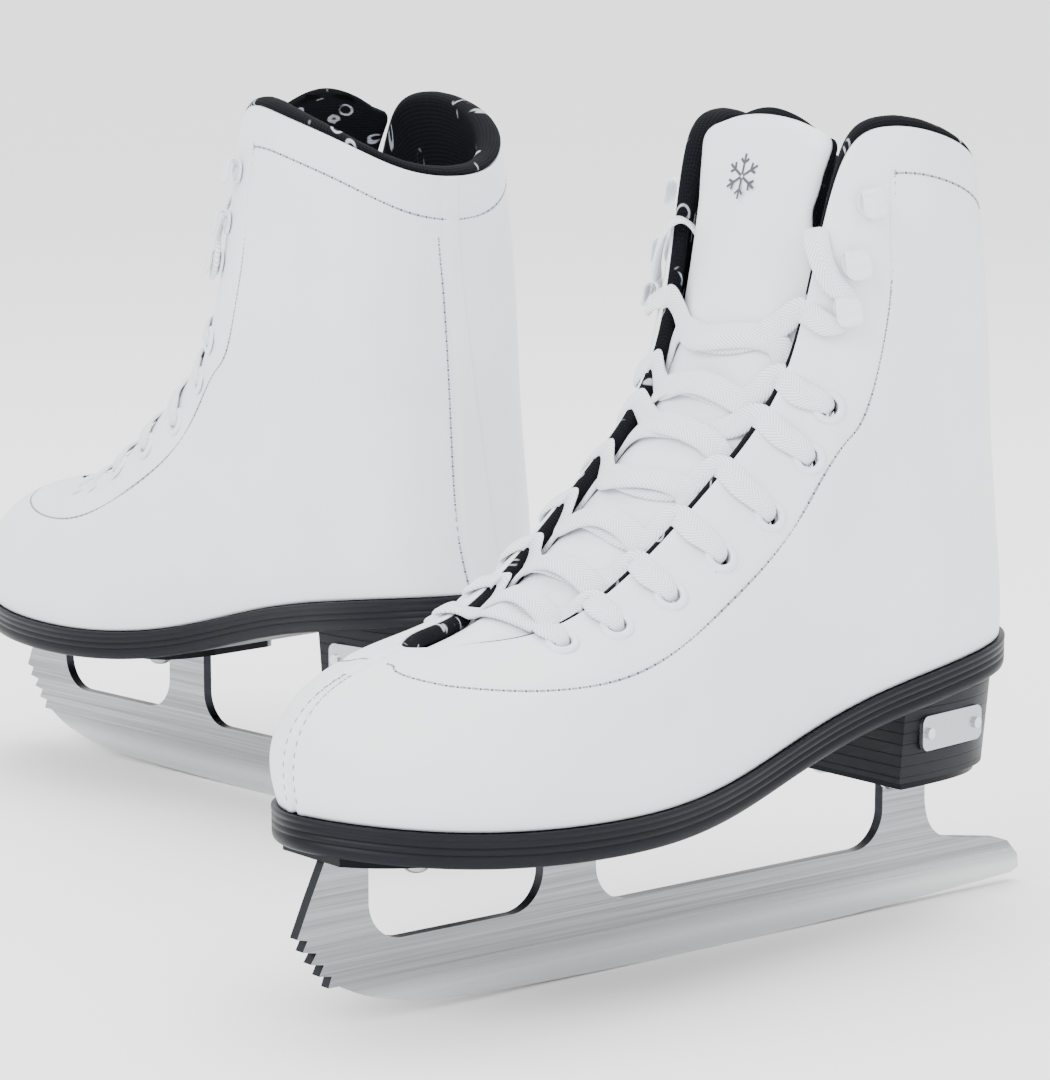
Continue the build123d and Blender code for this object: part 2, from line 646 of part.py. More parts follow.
def main():
    os.makedirs("parts", exist_ok=True)
    pieces = skate()
    nodes = {}
    for name, shapes in pieces.items():
        for label, mirrored in (("left_", False), ("right_", True)):
            nodes[label + name] = [place(solid, mirrored) for solid in solids_of(shapes)]
    # The origin is on the ice, under the middle of the pair's outer box.
    box = Compound([solid for solids in nodes.values() for solid in solids]).bounding_box()
    to_origin = Pos(-(box.min.X + box.max.X) / 2, -(box.min.Y + box.max.Y) / 2, -box.min.Z)
    for name, solids in nodes.items():
        moved = [to_origin * solid for solid in solids]
        export_step(moved[0] if len(moved) == 1 else Compound(moved), f"parts/{name}.step")
    print("left toe pick at", to_origin.position)


if __name__ == "__main__":
    main()
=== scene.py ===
import math

import bpy
import numpy as np
from bpy.props import FloatProperty, IntProperty, PointerProperty, StringProperty
from mathutils import Matrix, Vector


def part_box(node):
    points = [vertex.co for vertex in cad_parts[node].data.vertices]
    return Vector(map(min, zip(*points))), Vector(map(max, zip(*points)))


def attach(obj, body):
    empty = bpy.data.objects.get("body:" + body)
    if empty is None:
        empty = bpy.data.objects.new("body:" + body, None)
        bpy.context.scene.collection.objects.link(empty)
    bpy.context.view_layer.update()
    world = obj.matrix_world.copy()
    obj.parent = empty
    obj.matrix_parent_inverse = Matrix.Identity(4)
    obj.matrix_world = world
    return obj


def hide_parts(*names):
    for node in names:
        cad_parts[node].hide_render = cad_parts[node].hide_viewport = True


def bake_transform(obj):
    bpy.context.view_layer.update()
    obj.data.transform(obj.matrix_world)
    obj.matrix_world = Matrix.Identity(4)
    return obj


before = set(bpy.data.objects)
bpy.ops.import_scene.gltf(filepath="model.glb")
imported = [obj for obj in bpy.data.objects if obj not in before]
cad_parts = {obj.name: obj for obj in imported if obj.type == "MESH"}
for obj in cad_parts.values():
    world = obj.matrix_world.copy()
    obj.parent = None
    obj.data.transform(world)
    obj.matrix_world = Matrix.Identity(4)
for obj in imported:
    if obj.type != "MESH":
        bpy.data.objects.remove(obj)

bl_info = {
    "name": "Figure skates",
    "version": (1, 0, 0),
    "blender": (4, 5, 0),
    "location": "View3D > Sidebar > Skates",
    "description": "Boots, linings, tongues, laces, soles and blades of a pair of figure skates",
    "category": "Object",
}

MM = 0.001
SKATES = ("left", "right")

# ---- shape of the boot, in millimetres from the toe pick ----
RIGHT_YAW = math.radians(-85.46)
BLADE_THICK = 3.4
HINGE_Z = 204.0
SOLE_THICK, WELT, SOLE_LAP = 10.0, 1.8, 6.0
LEATHER, LAYER_GAP, STIFFENER, FOAM, LINING = 1.8, 0.25, 1.2, 3.3, 1.4
LINING_OUT_VAMP = LEATHER + STIFFENER + 2 * LAYER_GAP
HEEL, TOP = 13, 4.0  # station at the middle of the heel, level of the upper's top edge
LINING_FOOT = 0.14  # level of the lining's lower edge
EYELET_CLEAR = 3.3  # leather is open this far from an eyelet's middle
COLLAR_STITCH = 13.0  # below the top edge
TOE_RISE = 0.75  # station where the facing stitch leaves the toe
LACE_OVER = 1.7  # the outer side's lace lies over the other where they cross
FEATHER = [(-6, 62.6), (8, 60.8), (40, 58.2), (75, 57.3), (100, 58.0), (122, 60.6), (147, 66.4),
           (168, 72.2), (190, 77.2), (212, 81.0), (235, 84.2), (264, 87.0)]
STATIONS = [
    [(0.8, 0), (-1, 0, 72), (1.5, 0, 84), (14, 0, 95), (38, 0, 102.5)],
    [(6.5, 16), (4.5, 16.5, 73), (9, 15, 86), (21, 11, 96.5), (43, 7.5, 103)],
    [(23, 33), (20.5, 35, 73), (25, 31, 87), (38, 22, 98), (53, 13.5, 103.8)],
    [(50, 44), (48, 47, 72), (52, 42.5, 87), (62, 30.5, 99.5), (71, 19.5, 106)],
    [(84, 46.5), (83, 49, 72), (85, 46.5, 89), (91, 37, 106), (96, 24.5, 118.5)],
    [(114, 42.5), (114, 46, 75), (116, 45.5, 96), (120, 38.5, 121), (125, 27, 141.5)],
    [(142, 37), (143, 42, 83), (144, 44, 108), (147, 39.5, 139), (150, 29, 169)],
    [(166, 34), (166, 39.5, 92), (164.5, 43, 124), (162.5, 41, 165), (161, 31, 205)],
    [(184, 33), (183, 38, 95.5), (179, 42, 130), (173, 42.5, 178), (168.5, 34, 232)],
    [(200, 32.8), (198, 37, 98), (193.5, 41, 137), (187, 43, 188), (180, 38.5, 240.5)],
    [(222, 31.5), (220, 35, 100), (214, 37.5, 140), (207, 41.5, 189), (199, 42, 238)],
    [(244, 24.5), (241.5, 27.5, 103), (234.5, 30, 143), (227, 34, 189), (221, 34, 229.5)],
    [(255, 13), (250.5, 14.5, 104), (243, 16.5, 145), (235.5, 19, 189), (232.5, 20, 221.5)],
    [(258.5, 0), (253.5, 0, 104), (245.5, 0, 145), (238, 0, 189), (236.5, 0, 218.5)],
]
MEDIAL = [1, 0.99, 0.98, 0.97, 0.96, 0.93, 0.91, 0.93, 0.95, 0.97, 1, 1, 1, 1]
EYELETS = [(3.2, 3.42), (3.78, 3.3), (4.38, 3.2), (4.98, 3.14), (5.6, 3.12), (6.25, 3.12), (6.72, 3.14)]
HOOKS = [(7.42, 3.4), (7.8, 3.52), (8.35, 3.68)]
TONGUE = [(1.2, 37, 98.6), (2.0, 53, 102.2), (3.0, 70, 107.3), (4.0, 93, 120), (5.0, 122, 142.5),
          (6.0, 145.5, 170), (6.88, 155.0, 201)]
FLAP = [(HINGE_Z + 0.5, 155.7, 24.5, 5.0), (218, 160, 25.5, 4.5), (232, 164, 27.5, 3.5),
        (244, 167.5, 29.5, 2.0)]
FACING_STITCH = [(TOE_RISE, 3.5), (1.5, 3.0), (2.33, 2.66), (3.62, 2.43), (4.55, 2.5), (5.28, 2.66),
                 (6.12, 2.8), (7.5, 2.72), (8.2, 2.95), (8.78, 3.38), (9.15, 3.9)]
SOLE_RIM = [(-SOLE_LAP, 0.3), (-1.2, 0.3), (-0.3, 0.35), (0.1, 0.75), (0.1, 1.7), (-0.25, 2.1),
            (-0.25, 2.4), (0.0, 2.75), (0.0, 3.9), (-0.5, 4.2), (-0.5, 4.45), (0.0, 4.75), (0.0, 5.9),
            (-0.5, 6.2), (-0.5, 6.45), (0.0, 6.75), (-0.05, 8.4), (-0.35, 9.3), (-1.1, 9.9),
            (-2.4, SOLE_THICK), (-SOLE_LAP, SOLE_THICK)]
HOOK_LINE = [(3.9, 0.75), (2.0, 0.75), (0.0, 0.75), (-1.8, 0.8), (-3.1, 1.4), (-3.7, 2.7), (-3.2, 4.1),
             (-1.9, 4.9), (0.0, 5.1), (2.2, 5.1), (3.6, 5.4), (4.5, 5.9)]
HOOK_WIDTH = [0.45, 0.86, 1.0, 0.96, 0.86, 0.82, 0.86, 0.95, 1.0, 1.0, 0.84, 0.45]
HOOK_HALF = 3.9
RIVET_DOME = [(1.9, 1.3), (1.8, 1.7), (1.2, 2.05), (0.4, 2.2)]

# ---- the stage, in metres and degrees ----
FLOOR_HALF = 60.0
LENS, SENSOR = 124.3, 36.0
CAMERA_AT, CAMERA_AIM, CAMERA_PITCH = (0.7056, 0.9654, 0.2861), (-0.6307, -0.7760), 8.77
WORLD_STRENGTH = 2.1


# ---- smooth curves and the surface of the upper ----
def spline_weights(knots, t, order=0):
    """Weights of a natural cubic through the knots, one row for each t."""
    knots = np.asarray(knots, float)
    n, h = len(knots), np.diff(knots)
    a, rhs = np.eye(n), np.zeros((n, n))
    for i in range(1, n - 1):
        a[i, i - 1:i + 2] = h[i - 1], 2 * (h[i - 1] + h[i]), h[i]
        rhs[i, i - 1:i + 2] = 6 / h[i - 1], -6 / h[i - 1] - 6 / h[i], 6 / h[i]
    bend = np.linalg.solve(a, rhs)
    t = np.atleast_1d(np.asarray(t, float))
    k = np.clip(np.searchsorted(knots, t, side="right") - 1, 0, n - 2)
    hk = h[k][:, None]
    a = (knots[k + 1][:, None] - t[:, None]) / hk
    b, one = 1 - a, np.eye(n)
    if order == 0:
        curved = ((a**3 - a) * bend[k] + (b**3 - b) * bend[k + 1]) * hk**2 / 6
        return a * one[k] + b * one[k + 1] + curved
    curved = ((1 - 3 * a**2) * bend[k] + (3 * b**2 - 1) * bend[k + 1]) * hk / 6
    return (one[k + 1] - one[k]) / hk + curved


def curve(rows, t):
    rows = np.asarray(rows, float)
    return spline_weights(rows[:, 0], t) @ rows[:, 1:]


def ease(t, start, end):
    x = np.clip((np.asarray(t, float) - start) / (end - start), 0, 1)
    return x * x * (3 - 2 * x)


def bump(t, middle, width):
    return np.exp(-((np.asarray(t, float) - middle) / width) ** 2)


def unit(v):
    return v / np.maximum(np.linalg.norm(v, axis=-1, keepdims=True), 1e-12)


def round_angles(count):
    return np.linspace(0, 2 * np.pi, count + 1)[:-1]


def squared(x, power):
    """Flattens a cosine or sine, so that a ring of points turns from an oval to a rounded bar."""
    return np.sign(x) * np.abs(x) ** power


def make_net(side):
    """Net of the upper for the outer (+1) or inner (-1) side, mirrored past both seams."""
    net = np.zeros((len(STATIONS), 5, 3))
    for i, station in enumerate(STATIONS):
        slim = 1.0 if side > 0 else MEDIAL[i]
        for j, point in enumerate(station):
            z = point[2] if len(point) == 3 else curve(FEATHER, point[0])[0, 0]
            net[i, j] = (-point[0], point[1] * (slim if j < 3 else 1), z)
    flip = np.array([1, -1, 1])
    net = np.concatenate([net[2:0:-1] * flip, net, net[-2:-4:-1] * flip])
    steps = np.linalg.norm(np.diff(net[:, 2], axis=0), axis=1)
    return net * np.array([1, side, 1]), np.concatenate([[0], np.cumsum(steps)])


NETS = {side: make_net(side) for side in (1, -1)}


def upper(side, s, v, depth=0.0, roll=0.0):
    """Points at station s and level v, depth inside the outer face, roll past the top edge."""
    net, knots = NETS[side]
    s, v, depth, roll = [np.asarray(a, float) for a in np.broadcast_arrays(s, v, depth, roll)]
    shape = s.shape
    s, v, depth, roll = s.ravel(), v.ravel(), depth.ravel(), roll.ravel()
    t = np.interp(s + 2, np.arange(len(knots)), knots)
    ws, ds = spline_weights(knots, t), spline_weights(knots, t, 1)
    wv, dv = spline_weights(np.arange(5.0), v), spline_weights(np.arange(5.0), v, 1)
    point = np.einsum("ni,nj,ijk->nk", ws, wv, net, optimize=True)
    along = np.einsum("ni,nj,ijk->nk", ds, wv, net, optimize=True)
    up = np.einsum("ni,nj,ijk->nk", ws, dv, net, optimize=True)
    normal = unit(np.cross(along, up) * side)
    foot = ws @ net[:, 0]
    point[:, 2] += (curve(FEATHER, -foot[:, 0])[:, 0] - foot[:, 2]) * np.clip(1 - v, 0, 1) ** 2
    return (point - depth[:, None] * normal + roll[:, None] * unit(up)).reshape(shape + (3,))


def outward(side, s, v):
    return upper(side, s, v, -1.0) - upper(side, s, v)


def below_edge(side, s, distance):
    """Level that lies this far under the top edge, measured down the surface."""
    s = np.asarray(s, float)
    step = np.linalg.norm(upper(side, s, TOP) - upper(side, s, TOP - 0.1), axis=-1)
    return TOP - distance * 0.1 / step


def lining_depth(s, v):
    """Depth of the lining's hidden face: there is foam under it round the ankle."""
    return LINING_OUT_VAMP + (FOAM + LAYER_GAP) * ease(s, 7.0, 8.6) * ease(v, 1.8, 2.6)


def footprint(grow, s):
    """Outline of the sole in plan on both sides, grown outwards from the feather line."""
    loops = []
    for side in (1, -1):
        p = upper(side, s, 0.0)[:, :2]
        ahead, behind = np.minimum(s + 0.02, HEEL), np.maximum(s - 0.02, 0)
        d = upper(side, ahead, 0.0)[:, :2] - upper(side, behind, 0.0)[:, :2]
        normal = unit(np.stack([d[:, 1], -d[:, 0]], axis=1) * side)
        normal[s == 0] = (1, 0)
        normal[s == HEEL] = (-1, 0)
        loops.append(p + normal * grow)
    return loops


# ---- from one skate's own millimetres to the frame ----
def placement(skate):
    """4x4 matrix that carries a point of a left skate, in millimetres, to this skate's place."""
    low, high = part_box(f"{skate}_blade")
    if skate == "left":
        return Matrix.Translation((high[0], (low[1] + high[1]) / 2, 0)) @ Matrix.Scale(MM, 4)
    half = BLADE_THICK / 2 * MM
    tip = (high[0] - half * abs(math.sin(RIGHT_YAW)), low[1] + half * abs(math.cos(RIGHT_YAW)), 0)
    flip = Matrix.Diagonal((1, -1, 1, 1))
    return Matrix.Translation(tip) @ Matrix.Rotation(RIGHT_YAW, 4, "Z") @ flip @ Matrix.Scale(MM, 4)


PLACE = {skate: placement(skate) for skate in SKATES}


def placed(skate, points):
    m = np.array(PLACE[skate])
    return np.asarray(points, float) @ m[:3, :3].T + m[:3, 3]


class Surface:
    """Quads gathered from several grids of points, made into one mesh at the end."""

    def __init__(self):
        self.points, self.faces, self.uvs = [], [], []
        self.count = 0

    def grid(self, points, uv=None, closed_rows=False, closed_columns=False):
        """Adds a grid, rows by columns. uv holds distances along and across it, in metres."""
        points = np.asarray(points, float)
        rows, columns = points.shape[:2]
        index = np.arange(rows * columns).reshape(rows, columns) + self.count
        if uv is None:
            uv = np.zeros((rows, columns, 2))
        if closed_rows:
            index = np.concatenate([index, index[:1]])
            uv = np.concatenate([uv, 2 * uv[-1:] - uv[-2:-1]])
        if closed_columns:
            index = np.concatenate([index, index[:, :1]], axis=1)
            uv = np.concatenate([uv, 2 * uv[:, -1:] - uv[:, -2:-1]], axis=1)
        quads, corner = [np.stack([a[:-1, :-1], a[:-1, 1:], a[1:, 1:], a[1:, :-1]], axis=2)
                         for a in (index, uv)]
        self.points.append(points.reshape(-1, 3))
        self.faces.append(quads.reshape(-1, 4))
        self.uvs.append(corner.reshape(-1, 4, 2))
        self.count += rows * columns
        return index

    def tube(self, loops, uv=None):
        """Adds rings of points joined end to end, with both ends closed by a fan to their middle."""
        loops = np.asarray(loops, float)
        index = self.grid(loops, uv, closed_columns=True)
        for ring, at, turn in ((loops[0], index[0], 1), (loops[-1], index[-1], -1)):
            middle = self.count
            self.points.append(ring.mean(axis=0)[None])
            self.count += 1
            pairs = np.stack([at[:-1], at[1:]], axis=1)[:, ::turn]
            quads = np.stack([np.full(len(pairs), middle), pairs[:, 1], pairs[:, 0], pairs[:, 0]], axis=1)
            self.faces.append(quads)
            flat = np.zeros(2) if uv is None else uv[0 if turn > 0 else -1, 0]
            self.uvs.append(np.array(np.broadcast_to(flat, (len(pairs), 4, 2))))

    def build(self, name, skate, material, drop=None):
        """Makes the mesh object. drop(points) says which faces, by their middles, are left out."""
        points = np.concatenate(self.points)
        faces, uvs = np.concatenate(self.faces), np.concatenate(self.uvs)
        if drop is not None:
            keep = ~drop(points[faces].mean(axis=1))
            faces, uvs = faces[keep], uvs[keep]
        if skate == "right":
            faces, uvs = faces[:, ::-1], uvs[:, ::-1]
        mesh = bpy.data.meshes.new(name)
        corners, starts, uv = [], [], []
        for face, corner in zip(faces.tolist(), uvs.tolist()):
            starts.append(len(corners))
            used = [i for i in range(4) if i == 0 or face[i] != face[i - 1]]
            used = [i for i in used if not (i == 3 and face[3] == face[0])]
            corners += [face[i] for i in used]
            uv += [value for i in used for value in corner[i]]
        mesh.vertices.add(len(points))
        mesh.vertices.foreach_set("co", placed(skate, points).astype(np.float32).ravel())
        mesh.loops.add(len(corners))
        mesh.loops.foreach_set("vertex_index", corners)
        mesh.polygons.add(len(starts))
        mesh.polygons.foreach_set("loop_start", starts)
        mesh.update(calc_edges=True)
        mesh.uv_layers.new(name="Cut").data.foreach_set("uv", uv)
        mesh.polygons.foreach_set("use_smooth", [True] * len(starts))
        mesh.validate()
        mesh.materials.append(material)
        piece = bpy.data.objects.new(f"{skate}_{name}", mesh)
        bpy.context.scene.collection.objects.link(piece)
        return piece


def lengths(points, axis):
    """Running distance along one axis of a grid of points, in metres."""
    step = np.linalg.norm(np.diff(points, axis=axis), axis=-1)
    pad = [(0, 0)] * step.ndim
    pad[axis] = (1, 0)
    return np.pad(np.cumsum(step, axis=axis), pad) * MM


def flat_map(points):
    """Distances along and across a grid, even over rows and columns, so that a weave stays square."""
    rows, columns = points.shape[:2]
    along = lengths(points, 1).mean(axis=0)
    across = lengths(points, 0).mean(axis=1)
    return np.stack(np.meshgrid(along, across), axis=-1).reshape(rows, columns, 2)


# ---- materials ----
# Where Blender gives several sockets one name they go by number: a colour mix takes 0, 6 and 7 and gives 2,
# a vector mix takes 0, 4 and 5 and gives 1, and a map range takes 0, from 1 and 2 to 3 and 4.
WAVE = 0.314  # wave texture scale that gives one band for each unit of its vector


def linear(hex_colour):
    """sRGB hex to the linear colour that a shader takes."""
    value = hex_colour.lstrip("#")
    srgb = [int(value[i:i + 2], 16) / 255 for i in (0, 2, 4)]
    return [c / 12.92 if c <= 0.04045 else ((c + 0.055) / 1.055) ** 2.4 for c in srgb] + [1.0]


def add_node(tree, kind, inputs=None, **settings):
    """Adds a shader node with its settings; an input is a value or another node's output socket."""
    node = tree.nodes.new("ShaderNode" + kind)
    for key, value in settings.items():
        setattr(node, key, value)
    for key, value in (inputs or {}).items():
        if isinstance(value, bpy.types.NodeSocket):
            tree.links.new(value, node.inputs[key])
        else:
            node.inputs[key].default_value = value
    return node


def start_material(name, **sockets):
    material = bpy.data.materials.get(name)
    if material:
        bpy.data.materials.remove(material)
    material = bpy.data.materials.new(name)
    material.use_nodes = True
    tree = material.node_tree
    tree.nodes.clear()
    values = {key.replace("_", " "): value for key, value in sockets.items()}
    shader = add_node(tree, "BsdfPrincipled", values)
    add_node(tree, "OutputMaterial", {"Surface": shader.outputs[0]})
    return material, tree, shader


def plug(tree, shader, **sockets):
    """Links outputs of other nodes to sockets of the material's shader."""
    for key, value in sockets.items():
        tree.links.new(value, shader.inputs[key.replace("_", " ")])


def coated_leather(colour):
    """Polyurethane-coated leather, embossed with a very fine grain: soft sheen, almost even white."""
    material, tree, shader = start_material("coated_leather_embossed", IOR=1.46, Coat_Weight=0.12,
                                            Coat_Roughness=0.3)
    at = add_node(tree, "TexCoord").outputs["Object"]
    # Grain pebbles of 0.7 mm, with a hide's slow unevenness over about 45 mm.
    pebble = add_node(tree, "TexVoronoi", {"Vector": at, "Scale": 1 / 0.0007},
                      feature="SMOOTH_F1").outputs["Distance"]
    slow = add_node(tree, "TexNoise", {"Vector": at, "Scale": 1 / 0.045, "Detail": 3.0}).outputs["Fac"]
    fine = add_node(tree, "TexNoise", {"Vector": at, "Scale": 1 / 0.0025, "Detail": 4.0}).outputs["Fac"]
    patch = add_node(tree, "MapRange", {0: slow, 1: 0.3, 2: 0.7}).outputs[0]
    tone = add_node(tree, "Mix", {0: patch, 6: linear(colour), 7: linear("#DCDFE4")}, data_type="RGBA")
    gloss = add_node(tree, "MapRange", {0: fine, 1: 0.3, 2: 0.7, 3: 0.40, 4: 0.50})
    grain = add_node(tree, "Bump", {"Strength": 0.12, "Distance": 0.00006, "Height": pebble})
    ripple = add_node(tree, "Bump", {"Strength": 0.25, "Distance": 0.0006, "Height": slow,
                                     "Normal": grain.outputs[0]})
    plug(tree, shader, Base_Color=tone.outputs[2], Roughness=gloss.outputs[0], Normal=ripple.outputs[0])
    return material


def mesh_lining(colour):
    """Knitted polyester lining, dyed charcoal, printed with short pale strokes that spell nothing."""
    material, tree, shader = start_material("knitted_polyester_printed", IOR=1.4, Roughness=0.95,
                                            Specular_IOR_Level=0.2)
    uv = add_node(tree, "UVMap", uv_map="Cut").outputs[0]
    # Knit courses 0.9 mm apart both ways; a real one has about 0.6 mm, too fine to show.
    turn = add_node(tree, "Mapping", {"Vector": uv, "Scale": (1 / 0.0009, 1 / 0.0009, 1)}).outputs[0]
    courses, wales = [add_node(tree, "TexWave", {"Vector": turn, "Scale": WAVE},
                               bands_direction=way).outputs["Fac"] for way in ("X", "Y")]
    knit = add_node(tree, "Math", {0: courses, 1: wales}, operation="MULTIPLY").outputs[0]
    yarn = add_node(tree, "Mix", {0: knit, 6: linear(colour), 7: linear("#14161D")}, data_type="RGBA")
    # Printed rings and hooks 5 to 10 mm across, drawn in lines about 1 mm wide.
    wobble = add_node(tree, "TexNoise", {"Vector": uv, "Scale": 1 / 0.006, "Detail": 2.0}).outputs["Color"]
    bent = add_node(tree, "Mix", {0: 0.0012, 4: uv, 5: wobble}, data_type="VECTOR").outputs[1]
    cells = add_node(tree, "Mapping", {"Vector": bent, "Scale": (1 / 0.011, 1 / 0.0055, 1)}).outputs[0]
    ring = add_node(tree, "TexVoronoi", {"Vector": cells, "Scale": 1.0,
                                         "Randomness": 0.8}).outputs["Distance"]
    begin = add_node(tree, "MapRange", {0: ring, 1: 0.20, 2: 0.24}).outputs[0]
    end = add_node(tree, "MapRange", {0: ring, 1: 0.30, 2: 0.34, 3: 1.0, 4: 0.0}).outputs[0]
    stroke = add_node(tree, "Math", {0: begin, 1: end}, operation="MULTIPLY").outputs[0]
    half = add_node(tree, "TexNoise", {"Vector": cells, "Scale": 0.9}).outputs["Fac"]
    some = add_node(tree, "MapRange", {0: half, 1: 0.5, 2: 0.56}).outputs[0]
    printed = add_node(tree, "Math", {0: stroke, 1: some}, operation="MULTIPLY").outputs[0]
    tone = add_node(tree, "Mix", {0: printed, 6: yarn.outputs[2], 7: linear("#A9AEB9")}, data_type="RGBA")
    relief = add_node(tree, "Bump", {"Strength": 0.6, "Distance": 0.0003, "Height": knit})
    plug(tree, shader, Base_Color=tone.outputs[2], Normal=relief.outputs[0])
    return material


def woven_lace(colour):
    """Tubular polyester braid pressed flat: slanting plaits that meet along the middle."""
    material, tree, shader = start_material("polyester_braid", IOR=1.5, Roughness=0.75, Sheen_Weight=0.3,
                                            Sheen_Roughness=0.4)
    uv = add_node(tree, "UVMap", uv_map="Cut").outputs[0]
    part = add_node(tree, "SeparateXYZ", {0: uv})
    folded = add_node(tree, "Math", {0: part.outputs[0]}, operation="ABSOLUTE").outputs[0]
    slant = add_node(tree, "Math", {0: folded, 1: part.outputs[1]}, operation="ADD").outputs[0]
    # Plaits 1.1 mm apart along the lace.
    turns = add_node(tree, "Math", {0: slant, 1: 2 * math.pi / 0.0011}, operation="MULTIPLY").outputs[0]
    plait = add_node(tree, "Math", {0: turns}, operation="SINE").outputs[0]
    lifted = add_node(tree, "MapRange", {0: plait, 1: -1.0, 2: 1.0}).outputs[0]
    # Painted shade: the low parts between the plaits are painted darker than the raised plaits.
    tone = add_node(tree, "Mix", {0: lifted, 6: linear("#C9CDD5"), 7: linear(colour)}, data_type="RGBA")
    relief = add_node(tree, "Bump", {"Strength": 0.5, "Distance": 0.0003, "Height": lifted})
    plug(tree, shader, Base_Color=tone.outputs[2], Normal=relief.outputs[0])
    return material


def spun_thread(colour):
    """Bonded polyester sewing thread, two plies twisted: plies 0.5 mm apart, dull and slightly fluffy."""
    material, tree, shader = start_material("bonded_sewing_thread", IOR=1.5, Roughness=0.6)
    at = add_node(tree, "TexCoord").outputs["Object"]
    plies = add_node(tree, "TexWave", {"Vector": at, "Scale": WAVE / 0.0005, "Distortion": 1.0},
                     bands_direction="DIAGONAL").outputs["Fac"]
    tone = add_node(tree, "Mix", {0: plies, 6: linear(colour), 7: linear("#7E828B")}, data_type="RGBA")
    relief = add_node(tree, "Bump", {"Strength": 0.4, "Distance": 0.0001, "Height": plies})
    plug(tree, shader, Base_Color=tone.outputs[2], Normal=relief.outputs[0])
    return material


def moulded_sole(colour, layered):
    """Injection-moulded PVC, satin black with a blue cast; a stacked heel has a line every 3.4 mm."""
    name = "pvc_stacked_heel" if layered else "pvc_moulded_sole"
    material, tree, shader = start_material(name, IOR=1.45, Specular_IOR_Level=0.18)
    at = add_node(tree, "TexCoord").outputs["Object"]
    cloud = add_node(tree, "TexNoise", {"Vector": at, "Scale": 1 / 0.02, "Detail": 5.0}).outputs["Fac"]
    # Spark-eroded mould texture, 0.4 mm.
    spark = add_node(tree, "TexNoise", {"Vector": at, "Scale": 1 / 0.0004, "Detail": 2.0}).outputs["Fac"]
    base = add_node(tree, "Mix", {0: cloud, 6: linear(colour), 7: linear("#10121A")}, data_type="RGBA")
    height = add_node(tree, "Bump", {"Strength": 0.2, "Distance": 0.00008, "Height": spark})
    if layered:
        level = add_node(tree, "SeparateXYZ", {0: at}).outputs[2]
        turns = add_node(tree, "Math", {0: level, 1: 2 * math.pi / 0.0034}, operation="MULTIPLY").outputs[0]
        wave = add_node(tree, "Math", {0: turns}, operation="SINE").outputs[0]
        line = add_node(tree, "MapRange", {0: wave, 1: 0.86, 2: 0.97, 3: 1.0, 4: 0.0}).outputs[0]
        base = add_node(tree, "Mix", {0: line, 6: linear("#05060A"), 7: base.outputs[2]}, data_type="RGBA")
        height = add_node(tree, "Bump", {"Strength": 0.7, "Distance": 0.0004, "Height": line,
                                         "Normal": height.outputs[0]})
    gloss = add_node(tree, "MapRange", {0: cloud, 1: 0.3, 2: 0.7, 3: 0.36, 4: 0.50})
    plug(tree, shader, Base_Color=base.outputs[2], Roughness=gloss.outputs[0], Normal=height.outputs[0])
    return material


def ground_steel(skate, colour):
    """Carbon steel, surface-ground lengthwise and nickel-plated: long fine scratches, bright near the ice."""
    material, tree, shader = start_material(f"ground_blade_steel_{skate}", Metallic=1.0, Anisotropic=0.4)
    yaw = 0.0 if skate == "left" else -RIGHT_YAW
    at = add_node(tree, "TexCoord").outputs["Object"]
    turned = add_node(tree, "Mapping", {"Vector": at, "Rotation": (0, 0, yaw)}).outputs[0]
    # Grinding scratches 0.4 mm apart and some 60 mm long; real ones are ten times finer.
    drawn = add_node(tree, "Mapping", {"Vector": turned, "Scale": (1 / 0.06, 1 / 0.02, 1 / 0.0004)})
    scratch = add_node(tree, "TexNoise", {"Vector": drawn.outputs[0], "Scale": 1.0,
                                          "Detail": 4.0}).outputs["Fac"]
    broad = add_node(tree, "Mapping", {"Vector": turned, "Scale": (1 / 0.4, 1 / 0.02, 1 / 0.0016)})
    streak = add_node(tree, "TexNoise", {"Vector": broad.outputs[0], "Scale": 1.0,
                                         "Detail": 2.0}).outputs["Fac"]
    both = add_node(tree, "Math", {0: scratch, 1: streak}, operation="ADD").outputs[0]
    share = add_node(tree, "MapRange", {0: both, 1: 0.75, 2: 1.25}).outputs[0]
    metal = add_node(tree, "Mix", {0: share, 6: linear("#7F8183"), 7: linear(colour)}, data_type="RGBA")
    # The lowest 11 mm are ground once more and shine.
    height = add_node(tree, "SeparateXYZ", {0: at}).outputs[2]
    bright = add_node(tree, "MapRange", {0: height, 1: 0.006, 2: 0.011, 3: 1.0, 4: 0.0}).outputs[0]
    metal = add_node(tree, "Mix", {0: bright, 6: metal.outputs[2], 7: linear("#C8C9CB")}, data_type="RGBA")
    # Painted shade: cut edges and other faces that don't face sideways are painted dark.
    facing = add_node(tree, "NewGeometry").outputs["Normal"]
    across = (0.0, 1.0, 0.0) if skate == "left" else (-math.sin(RIGHT_YAW), math.cos(RIGHT_YAW), 0.0)
    side = add_node(tree, "VectorMath", {0: facing, 1: across}, operation="DOT_PRODUCT").outputs["Value"]
    flat = add_node(tree, "Math", {0: side}, operation="ABSOLUTE").outputs[0]
    sideways_unshaded = add_node(tree, "MapRange", {0: flat, 1: 0.4, 2: 0.6}).outputs[0]
    metal = add_node(tree, "Mix", {0: sideways_unshaded, 6: linear("#2A2C30"), 7: metal.outputs[2]}, data_type="RGBA")
    gloss = add_node(tree, "MapRange", {0: both, 1: 0.75, 2: 1.25, 3: 0.42, 4: 0.26})
    relief = add_node(tree, "Bump", {"Strength": 0.25, "Distance": 0.00005, "Height": scratch})
    plug(tree, shader, Base_Color=metal.outputs[2], Roughness=gloss.outputs[0], Normal=relief.outputs[0])
    return material


